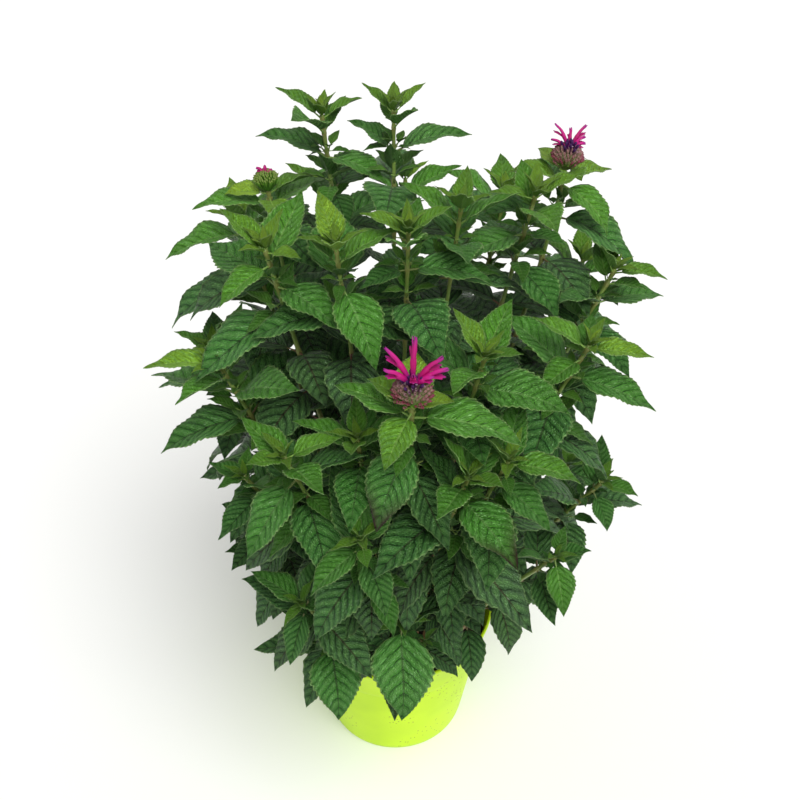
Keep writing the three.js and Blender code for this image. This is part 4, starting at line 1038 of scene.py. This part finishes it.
def add_shoot(surfaces, stem, along, azimuth, size, draw):
    """A shoot in an axil: a short twig that rises beside the stalk, with one or two pairs of leaves."""
    run, length, pairs = size
    at = place_on(stem["stalk"], along + 1.5)
    onwards = unit(leaning(at, azimuth + draw(-12, 12), draw(24, 38)))
    side = unit(np.cross(onwards, at[1]))
    front = np.cross(side, onwards)
    centres = [at[0] + onwards * s for s in np.linspace(0, run, 3)]
    points, faces = tube(centres, [side] * 3, [front] * 3, (1.0, 0.8, 0.5), 4)
    surfaces.add(points, faces, 0.5, 0.8, 0.3, 0.5, 0, 0, 1)
    for k in range(pairs):
        base = at[0] + onwards * run * (1 - 0.45 * k)
        for hand in (1, -1):
            away = (side if k % 2 == 0 else front) * hand
            for shrink in (1, 0.75, 0.55):
                lift = math.radians(draw(38, 52) + 10 * k)
                way = unit(onwards * math.cos(lift) + away * math.sin(lift))
                long = length * shrink * (1 + 0.35 * k) * draw(0.85, 1.1)
                leaf = make_leaf(base, way, long, wide=0.25, droop=20, twist=0, fold=26, petiole=0.16)
                patch = outline_patch(leaf)
                if not in_the_way(patch[0]) and not neighbours.meets(patch, stem["name"]):
                    neighbours.add(patch)
                    form = MEDIUM_BLADE if long > 28 else SMALL_BLADE
                    add_leaf(surfaces, leaf, form, draw, stem["older"] + 0.2 + 0.1 * k)
                    break


# The tries of a lower leaf: its share of the length, and its changes of lift and of swing.
LOWER_TRIES = ((1, 0, 0), (0.85, 8, 16), (0.85, -10, -16), (0.65, 0, 24), (0.5, -8, -24))


def add_lower_pairs(surfaces, stem, draw):
    """Older leaves lower on the stalk, clear of every stalk, the heads, the pot and the soil."""
    for pair, along in enumerate(stem["lower_nodes"], stem["pairs"]):
        at = place_on(stem["stalk"], along)
        for hand in (0, 1):
            for shrink, lift, swing in LOWER_TRIES:
                azimuth = 90 * pair + 180 * hand + swing + draw(-10, 10)
                way = leaning(at, azimuth, 78 + lift + draw(-8, 8))
                length = stem["leaf"] * shrink * draw(0.85, 1.05)
                leaf = pair_leaf(pair, at[0], way, length, draw(36, 66), draw(-24, 24), 0.28)
                patch = outline_patch(leaf)
                if not in_the_way(patch[0]) and not neighbours.meets(patch):
                    neighbours.add(patch)
                    add_leaf(surfaces, leaf, MEDIUM_BLADE, draw, draw(0.8, 1))
                    break


LEAF_TONES = (
    (0.0, (0.52, 0.84, 0.06)),
    (0.04, (0.36, 0.68, 0.04)),
    (0.09, (0.25, 0.54, 0.03)),
    (0.25, (0.140, 0.45, 0.028)),
    (0.5, (0.074, 0.300, 0.034)),
    (0.8, (0.060, 0.200, 0.048)),
    (1.0, (0.092, 0.185, 0.076)),
)
# The rib by age: pale when young, later near black, painted shade in its sunken groove, then its own
# red-brown.
RIB_TONES_WITH_GROOVE_SHADE = (
    (0.0, (0.36, 0.60, 0.12)),
    (0.4, (0.22, 0.46, 0.12)),
    (0.6, (0.022, 0.050, 0.014)),
    (0.8, (0.030, 0.028, 0.012)),
    (1.0, (0.060, 0.028, 0.020)),
)


class LeafGreen(Finish):
    """Leaves, young yellow-green to old dark, with painted shade in veins and painted highlights on crests."""

    def __init__(self):
        super().__init__("leaf_green", (0.05, 0.2, 0.03), 0.4, specular=0.42)
        traits = self.add("Attribute", attribute_name="traits")
        parts = self.add("SeparateColor")
        self.link(traits.outputs["Color"], parts.inputs[0])
        self.age, self.tint, self.blush = parts.outputs
        self.under = traits.outputs["Alpha"]
        self.map = self.add("UVMap", uv_map="blade_map").outputs["UV"]
        place = self.add("SeparateXYZ")
        self.link(self.map, place.inputs[0])
        self.along = place.outputs[1]
        self.reach = self.times(self.maths("ABSOLUTE", self.minus(place.outputs[0], 0.5)), 2.0)
        self.mottle = self.texture("Noise", "Fac", Scale=170, Detail=4)
        self.patches = self.texture("Noise", "Fac", Scale=60, Detail=3)
        self.draw_veins()
        green = self.below(self.stained(self.edged(self.veined(self.fresh()))))
        self.put(self.shader["Base Color"], self.mixed(self.attribute("stalk"), green, self.bark()))
        self.shape()

    def draw_veins(self):
        """Slanted straying veins, their painted shade, the ridges between them, and a fine net of cells."""
        strayed = self.times(self.minus(self.mottle, 0.5), 1.9)
        wave = self.plus(self.times(self.along, math.pi * LEAF["veins"]), strayed)
        self.ridge = self.maths("ABSOLUTE", self.maths("SINE", wave))
        vein_shade = self.minus(1.0, self.times(self.ridge, 3.2), clamp=True)
        vein_shade = self.times(vein_shade, self.minus(1.2, self.reach, clamp=True), clamp=True)
        self.vein_shade = self.times(vein_shade, self.plus(self.times(self.age, 0.5), 0.6), clamp=True)
        stretch = self.add("VectorMath", operation="MULTIPLY")
        stretch.inputs[1].default_value = (16, 34, 1)
        self.link(self.map, stretch.inputs[0])
        cells = self.add("TexVoronoi", feature="DISTANCE_TO_EDGE", Scale=1)
        self.link(stretch.outputs[0], cells.inputs["Vector"])
        self.cells = cells.outputs["Distance"]

    def fresh(self):
        """Green by age, uneven from leaf to leaf and across the blade, with painted highlights on ridges."""
        uneven = self.times(self.times(self.tint, self.mottle), 0.75, clamp=True)
        green = self.mixed(uneven, self.ramp(self.age, LEAF_TONES), (0.085, 0.25, 0.03))
        # Painted highlight: a paler green on the crests of the ridges between the veins.
        crest_highlight = self.times(self.maths("POWER", self.ridge, 3.0), self.minus(self.mottle, 0.1))
        return self.mixed(crest_highlight, green, (0.22, 0.50, 0.13))

    def veined(self, green):
        """Painted shade along the sunken veins and, on old leaves, in the net, with the rib over them."""
        # Painted shade: near black in the sunken veins and, more on old leaves, in the fine net between them.
        uneven = self.times(self.vein_shade, self.plus(self.mottle, 0.55), clamp=True)
        net_shade = self.minus(0.5, self.times(self.cells, 3.6), clamp=True)
        net_shade = self.times(net_shade, self.plus(self.age, 0.25))
        green = self.mixed(self.maths("MAXIMUM", uneven, net_shade), green, (0.008, 0.036, 0.008))
        # The rib over the veins: its own colour, and on old leaves partly painted shade in its groove.
        rib = self.minus(1.2, self.times(self.reach, 17.0), clamp=True)
        return self.mixed(self.times(rib, 0.75), green, self.ramp(self.age, RIB_TONES_WITH_GROOVE_SHADE))

    def edged(self, green):
        """A pale margin, fainter on old leaves."""
        margin = self.times(self.minus(self.reach, 0.90), 13.0, clamp=True)
        pale = self.times(margin, self.minus(0.9, self.times(self.age, 0.6)), clamp=True)
        return self.mixed(pale, green, (0.36, 0.58, 0.18))

    def stained(self, green):
        """Purple towards the tip of the leaves that blush."""
        stains = self.times(self.times(self.blush, self.patches), 2.6, clamp=True)
        tipped = self.plus(self.times(self.along, 1.3), self.times(self.reach, 0.9))
        tipped = self.minus(tipped, 0.85, clamp=True)
        return self.mixed(self.times(stains, tipped, clamp=True), green, (0.050, 0.018, 0.016))

    def below(self, green):
        """Greyer and paler on the underside, most on old leaves."""
        pale = self.times(self.under, self.plus(self.times(self.age, 1.6), 0.08), clamp=True)
        return self.mixed(self.times(pale, 0.75), green, (0.13, 0.24, 0.09))

    def bark(self):
        """Green stalks, red-brown low down and a little at their nodes."""
        reddened = self.times(self.maths("POWER", self.age, 1.6), self.plus(self.mottle, 0.35), clamp=True)
        woody = self.plus(reddened, self.times(self.blush, 0.3), clamp=True)
        return self.mixed(woody, (0.19, 0.31, 0.06), (0.30, 0.075, 0.075))

    def shape(self):
        """The relief of ridges, cells and grain, and a shine that differs in patches."""
        bands = self.times(self.maths("POWER", self.ridge, 0.6), self.plus(self.times(self.age, 0.9), 0.3))
        height = self.plus(bands, self.times(self.cells, 1.3))
        self.relief(self.plus(height, self.times(self.mottle, 0.8)), 1.0, 0.0022)
        self.put(self.shader["Roughness"], self.part_of(self.patches, To_Min=0.30, To_Max=0.52))


# Ages of the leaf pairs from the tip down, and what a lower place of the whole stem adds to them.
AGES = (0.1, 0.26, 0.46, 0.66, 0.85, 1.0)
HEAD_AGES = (0.06, 0.1, 0.3, 0.6, 0.85)
YOUNG_FROM, OLD_OVER = 420, 380
PURPLE_LEAVES = {("low_middle", 2, 1): 1.0, ("head_front", 3, 0): 0.75}
LOWEST_NODE, NODE_STEP = 168, 32
FINE_PAIRS = 4
foliage_finish = LeafGreen().material
for stem in STEMS:
    last = stem["stalk"]["total"] - rows_of(stem)[stem["pairs"] - 1]["down"]
    stops = np.arange(last - NODE_STEP, 0, -NODE_STEP)
    stem["lower_nodes"] = [s for s in stops if place_on(stem["stalk"], s)[0][2] > LOWEST_NODE]
    stem["older"] = max(0, (YOUNG_FROM - stem["tip"][2]) / OLD_OVER)
for index, stem in enumerate(STEMS):
    draw = chance(4000 + index)
    surfaces = Surfaces()
    add_stalk(surfaces, stem)
    if "head" not in stem:
        add_bud(surfaces, stem, draw)
    for pair, hand, leaf in stem["leaves"]:
        age = (HEAD_AGES if "head" in stem else AGES)[pair] + stem["older"] + draw(-0.08, 0.08)
        blush = PURPLE_LEAVES.get((stem["name"], pair, hand), 0)
        form = FINE_BLADE if pair < FINE_PAIRS else MEDIUM_BLADE
        add_leaf(surfaces, leaf, form, draw, max(0, min(1, age)), blush)
    for pair in range(1, stem["pairs"]):
        for hand in (0, 1):
            along = stem["stalk"]["total"] - rows_of(stem)[pair]["down"]
            add_shoot(surfaces, stem, along, 90 * pair + 180 * hand, SHOOTS[pair], draw)
    add_lower_pairs(surfaces, stem, draw)
    foliage = leafy_piece(surfaces, "leafy_stem_" + stem["name"])
    foliage.data.materials.append(foliage_finish)
    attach(foliage, "root")
    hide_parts("stem_" + stem["name"])

# A flower head's calyxes: narrow tubes with five teeth each, packed over a green dome, with thin bracts round
# them. The outer tubes are pinkish brown with dark red teeth, those inside them pale, the middle ones purple.
HEAD = {
    "gap": 0.3,
    "height": 12,
    "centre": 7,
    "reach": 12.4,
    "calyxes": 96,
    "inmost": 8,
    "tube": 10.8,
    "tube_foot": 10.6,
    "tube_share": 0.86,
    "bracts": 12,
}
KINDS = {
    "full": {"size": 1, "spread": 84, "upright": 0.75, "slim": 1, "open": 1},
    "open": {"size": 0.9, "spread": 84, "upright": 0.9, "slim": 0.7, "open": 1},
    "bud": {"size": 0.72, "spread": 66, "upright": 1.8, "slim": 0.75, "open": 0.7},
}
DOME_OUTLINE = ((3.2, 0), (5.4, 2.4), (6.6, 5), (7.4, 8), (6, 10.6), (3.4, 11.8))
CALYX_OUTLINE = ((0.45, 0), (0.7, 2.5), (0.86, 6), (0.9, 8.4), (0.94, 9.6), (0.72, 8.8), (0.5, 7.5))
GREEN_FROM = 2
INNER_TONES = (
    (0, (0.10, 0.11, 0.05)),
    (0.5, (0.22, 0.08, 0.16)),
    (0.9, (0.08, 0.012, 0.08)),
    (1, (0.40, 0.30, 0.36)),
)
MIDDLE_TONES = ((0, (0.17, 0.24, 0.06)), (0.6, (0.42, 0.36, 0.22)), (1, (0.26, 0.09, 0.11)))
OUTER_TONES = (
    (0, (0.20, 0.24, 0.07)),
    (0.5, (0.36, 0.20, 0.16)),
    (0.85, (0.30, 0.06, 0.09)),
    (1, (0.15, 0.012, 0.04)),
)
GREEN_TONES = ((0, (0.06, 0.18, 0.015)), (0.7, (0.14, 0.33, 0.03)), (1, (0.20, 0.26, 0.05)))


def form_of(piece):
    """A modelled piece's corners and quads, in millimetres, after which the piece itself goes."""
    corners = np.array([v.co for v in piece.data.vertices]) / MM
    faces = [tuple(p.vertices) for p in piece.data.polygons]
    bpy.data.objects.remove(piece)
    return corners, faces


def calyx_form():
    """A tube with its mouth drawn out into five teeth, modelled once."""
    corners, faces = form_of(turned("calyx", CALYX_OUTLINE, 10))
    radius = np.hypot(corners[:, 0], corners[:, 1])
    step = np.rint(np.degrees(np.arctan2(corners[:, 1], corners[:, 0])) / 36)
    mouth = (corners[:, 2] > 9) & (step % 2 == 0)
    corners[mouth] *= (1.12, 1.12, 1.15)
    return corners, faces


def head_frame(stem):
    """The place of a head's foot, and its own directions, from which every place in it is worked out."""
    point, way, first, second = place_on(stem["stalk"], stem["stalk"]["total"])
    return point, np.array((first, second, way))


def pointing(polar, azimuth):
    """The direction at an angle from upright and an angle round a head."""
    flat = math.sin(polar)
    return np.array((flat * math.sin(azimuth), -flat * math.cos(azimuth), math.cos(polar)))


def bloom_piece(surfaces, name, stem):
    """Part of a flower head as a piece, with each corner's share from base to tip and its tint."""
    piece, values = surfaces.piece(name, *head_frame(stem))
    set_values(piece, share=values[:, 0], tint=values[:, 1])
    return piece


def along_way(way):
    """Two directions square to a way: its side, and its outward face."""
    side = unit(np.cross(UP, way))
    return side, np.cross(side, way)


def add_tubes(surfaces, kind, greener, draw):
    """The calyxes, in a spiral from the middle of the dome outwards, with their tips on one round outline."""
    size, number = kind["size"], HEAD["calyxes"]
    corners, faces = calyx_form()
    golden = math.pi * (3 - math.sqrt(5))
    low, high = (math.cos(math.radians(angle)) for angle in (kind["spread"], HEAD["inmost"]))
    for i in range(number):
        polar = math.acos(high + (low - high) * (i + 0.5) / number)
        way = pointing(polar + draw(-0.06, 0.06), i * golden + draw(-0.08, 0.08))
        long = HEAD["tube_share"] * size * draw(0.9, 1.06)
        tip = UP * HEAD["gap"] + size * UP * HEAD["centre"] + way * HEAD["reach"] * size
        stands = unit(way + UP * kind["upright"] * math.sin(polar))
        side, out = along_way(stands)
        foot = tip - stands * HEAD["tube_foot"] * long
        points = foot + long * (corners[:, :1] * side - corners[:, 1:2] * out + corners[:, 2:] * stands)
        tint = math.degrees(polar) / 100 + draw(-0.14, 0.14) + greener
        surfaces.add(points, faces, corners[:, 2] / HEAD["tube"], tint)


def add_bracts(surfaces, kind, draw):
    """Thin green bracts round the foot of the tubes, curved upwards."""
    size, number = kind["size"], HEAD["bracts"]
    base = UP * HEAD["gap"] + size * UP * 0.6 * HEAD["centre"]
    for i in range(number):
        way = pointing(math.radians(kind["spread"] + draw(-6, 8)), i * math.tau / number + draw(-0.1, 0.1))
        leaf = make_leaf(base, way, size * draw(13, 16), wide=0.24, droop=-25, twist=0, fold=20, petiole=0.05)
        points, along = blade_points(leaf, SMALL_BLADE, draw(0, 1))
        surfaces.add(points, SMALL_BLADE["faces"], along, GREEN_FROM + draw(0, 0.3))


def calyxes_of(stem, draw):
    """The dome with its tubes and bracts. A head in bud is green all over."""
    surfaces, kind = Surfaces(), KINDS[stem["head"]]
    greener = GREEN_FROM if stem["head"] == "bud" else 0
    dome, faces = form_of(turned("dome", DOME_OUTLINE, 20))
    surfaces.add(dome * kind["size"] + UP * HEAD["gap"], faces, 0.1, 0.5 + greener)
    add_tubes(surfaces, kind, greener, draw)
    add_bracts(surfaces, kind, draw)
    return surfaces


def calyx_skin():
    """From the middle of a head outwards: purple, pale and pinkish brown tubes, and green bracts."""
    finish = Finish("calyx_skin", (0.4, 0.25, 0.2), 0.6)
    share, tint = finish.attribute("share"), finish.attribute("tint")
    colour = finish.ramp(share, INNER_TONES)
    for start, end, tones in ((0.2, 0.42, MIDDLE_TONES), (0.6, 0.78, OUTER_TONES), (1.4, 1.6, GREEN_TONES)):
        part = finish.part_of(tint, From_Min=start, From_Max=end)
        colour = finish.mixed(part, colour, finish.ramp(share, tones))
    finish.put(finish.shader["Base Color"], colour)
    finish.relief(finish.texture("Noise", "Fac", Scale=1600, Detail=2), 0.4, 0.0002)
    return finish.material


calyx_finish = calyx_skin()
for stem in (one for one in STEMS if "head" in one):
    tubes = calyxes_of(stem, chance(700 + len(stem["name"])))
    calyxes = bloom_piece(tubes, "calyx_head_" + stem["name"], stem)
    calyxes.data.materials.append(calyx_finish)
    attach(calyxes, "root")
    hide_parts("calyxes_" + stem["name"])

# The florets: magenta tubes that curve outwards from the head's crown and split into a narrow upper lip,
# with two stamens under it, and a lobed lower lip that hangs. Unopened dark buds fill the crown.
BUD_OUTLINE = ((0.3, 0), (0.8, 1.4), (1.0, 3), (0.85, 4.2), (0.35, 5))
BUDS = {"number": 16, "inmost": 6, "step": 2.2, "turn": 2.4, "sunk": 2.6}
# Of each floret: its way round the head and its angle from upright, in degrees, and its length.
FLORETS = {
    "full": (
        (-100, 40, 21),
        (-132, 32, 28),
        (174, 12, 30),
        (109, 34, 25),
        (88, 44, 24),
        (80, 40, 15),
        (-5, 12, 17),
    ),
    "open": ((120, 27, 20), (62, 31, 16), (10, 24, 20), (-10, 34, 14), (-20, 50, 12), (140, 54, 14)),
    "bud": ((15, 36, 11), (-60, 20, 9), (-130, 50, 8)),
}
PETAL_TONES = (
    (0.0, (0.05, 0.006, 0.08)),
    (0.15, (0.20, 0.004, 0.15)),
    (0.4, (0.40, 0.002, 0.115)),
    (0.8, (0.43, 0.005, 0.15)),
    (1.0, (0.28, 0.015, 0.20)),
)


def floret_line(start, way, length, shares):
    """A floret's centre line, its side, and the direction that its lower lip hangs in."""
    s = np.asarray(shares, float)[:, None]
    side = unit(np.cross(UP, way))
    out = unit(np.cross(side, way))
    point = start + way * length * s * (1 - 0.1 * s) + out * length * 0.24 * s * s
    across = out * np.cos(0.8 * s) - way * np.sin(0.8 * s)
    return point, side, across


def add_strap(surfaces, centre, side, across, half, cup, share, tint):
    """A lip: the blade's flat sheet bent along a line, cupped across, and thin."""
    form = MEDIUM_BLADE

    def along(column):
        return np.interp(form["along"], np.linspace(0, 1, len(centre)), column)

    middle, inwards = (np.array([along(column) for column in table.T]).T for table in (centre, across))
    wide, s = along(half), form["across"]
    bend = cup * wide * s * s - form["under"] * 0.35
    points = middle + side * (wide * s)[:, None] + inwards * bend[:, None]
    surfaces.add(points, form["faces"], along(share), tint)


def add_lower_lip(surfaces, start, way, length, slim, tint):
    """Three lobes side by side, which hang further from the tube towards their tips."""
    hang = min(5.6, 0.24 * length)
    half = slim * np.array((1.0, 1.0, 1.0, 1.0, 1.0, 0.95, 0.85, 0.4))
    for hand, reach in ((-1, 0.84), (0, 0.95), (1, 0.86)):
        shares = np.linspace(0.46, reach, 8)
        centre, side, across = floret_line(start, way, length, shares)
        drop = np.interp(shares, (0.46, 0.62, 0.95), (1.2 * slim, 0.45 * hang, hang))[:, None]
        apart = side * (hand * slim * np.interp(shares, (0.46, 0.66, 0.9), (0.3, 0.7, 1.9)))[:, None]
        add_strap(surfaces, centre + across * drop + apart, side, across, half, -0.3, shares, tint)


def add_stamens(surfaces, start, way, length, slim):
    """Two threads with a thicker anther at the end of each."""
    shares = np.linspace(0.55, 1.03, 6)
    centre, side, across = floret_line(start, way, length, shares)
    for hand in (-1, 1):
        line = centre + side * hand * 0.6 * slim + across * 0.1
        points, faces = tube(line, across, [side] * 6, (0.22, 0.22, 0.22, 0.22, 0.42, 0.28), 6)
        surfaces.add(points, faces, np.repeat(np.linspace(0.7, 1, 6), 6), 1.0)


def add_floret(surfaces, start, way, length, slim, draw):
    """The tube widens to its mouth. The narrow upper lip stands on, and the lobed lower lip hangs."""
    tint, sway = draw(0, 1), draw(-0.16, 0.16)
    shares = np.array((0, 0.1, 0.22, 0.36, 0.48, 0.56, 0.62))
    centre, side, across = floret_line(start, way, length, shares)
    radii = slim * np.array((0.8, 1.05, 1.35, 1.7, 1.95, 1.9, 1.0))
    points, faces = tube(centre, across, [side] * len(shares), radii, 10)
    surfaces.add(points, faces, np.repeat(shares, 10), tint)
    shares = np.linspace(0.44, 1, 8)
    centre, side, across = floret_line(start, way, length, shares)
    drop = slim * np.interp(shares, (0.44, 0.7, 1), (-1.5, -1.9, -0.9))[:, None]
    aside = side * (length * sway * (shares - 0.44) ** 2 * 1.6)[:, None]
    half = slim * np.array((1.8, 1.75, 1.5, 1.35, 1.35, 1.3, 1.1, 0.5))
    add_strap(surfaces, centre + across * drop + aside, side, across, half, 0.9, shares, tint)
    add_lower_lip(surfaces, start, way, length, slim, tint)
    add_stamens(surfaces, start, way, length, slim)


def florets_of(stem):
    """The dark buds on the crown, then the open florets, which start together over it."""
    kind, rows = KINDS[stem["head"]], FLORETS[stem["head"]]
    size, draw = kind["size"], chance(50 + len(rows))
    surfaces = Surfaces()
    corners, faces = form_of(turned("bud", BUD_OUTLINE, 8))
    for i in range(0 if stem["head"] == "bud" else BUDS["number"]):
        way = pointing(math.radians(BUDS["inmost"] + BUDS["step"] * i), i * BUDS["turn"])
        side, out = along_way(way)
        reach = HEAD["reach"] * size - BUDS["sunk"] + draw(-0.6, 0.8)
        foot = UP * (HEAD["centre"] * size + HEAD["gap"]) + way * reach
        points = foot + corners[:, :1] * side - corners[:, 1:2] * out + corners[:, 2:] * way
        surfaces.add(points, faces, 0.0, 0.0)
    start = UP * ((HEAD["height"] + 2) * size + 2 * HEAD["gap"])
    for around, polar, length in rows:
        way = pointing(math.radians(polar), math.radians(around - stem["turn"] + 90))
        add_floret(surfaces, start, way, length * kind["open"], kind["slim"], draw)
    return surfaces


def magenta_petal():
    """Magenta, violet and darker towards the foot, with a fine grain and a soft satin shine."""
    finish = Finish("magenta_petal", (0.6, 0.004, 0.18), 0.55, specular=0.3)
    magenta = finish.ramp(finish.attribute("share"), PETAL_TONES)
    lighter = finish.add("HueSaturation", Value=1.2, Hue=0.49)
    finish.link(magenta, lighter.inputs["Color"])
    varied = finish.mixed(finish.attribute("tint"), magenta, lighter.outputs["Color"])
    finish.put(finish.shader["Base Color"], varied)
    finish.relief(finish.texture("Noise", "Fac", Scale=900, Detail=2), 0.3, 0.0002)
    return finish.material


petal_finish = magenta_petal()
for stem in (one for one in STEMS if "head" in one):
    florets = bloom_piece(florets_of(stem), "florets_" + stem["name"] + "_fine", stem)
    florets.data.materials.append(petal_finish)
    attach(florets, "root")
    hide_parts("florets_" + stem["name"])
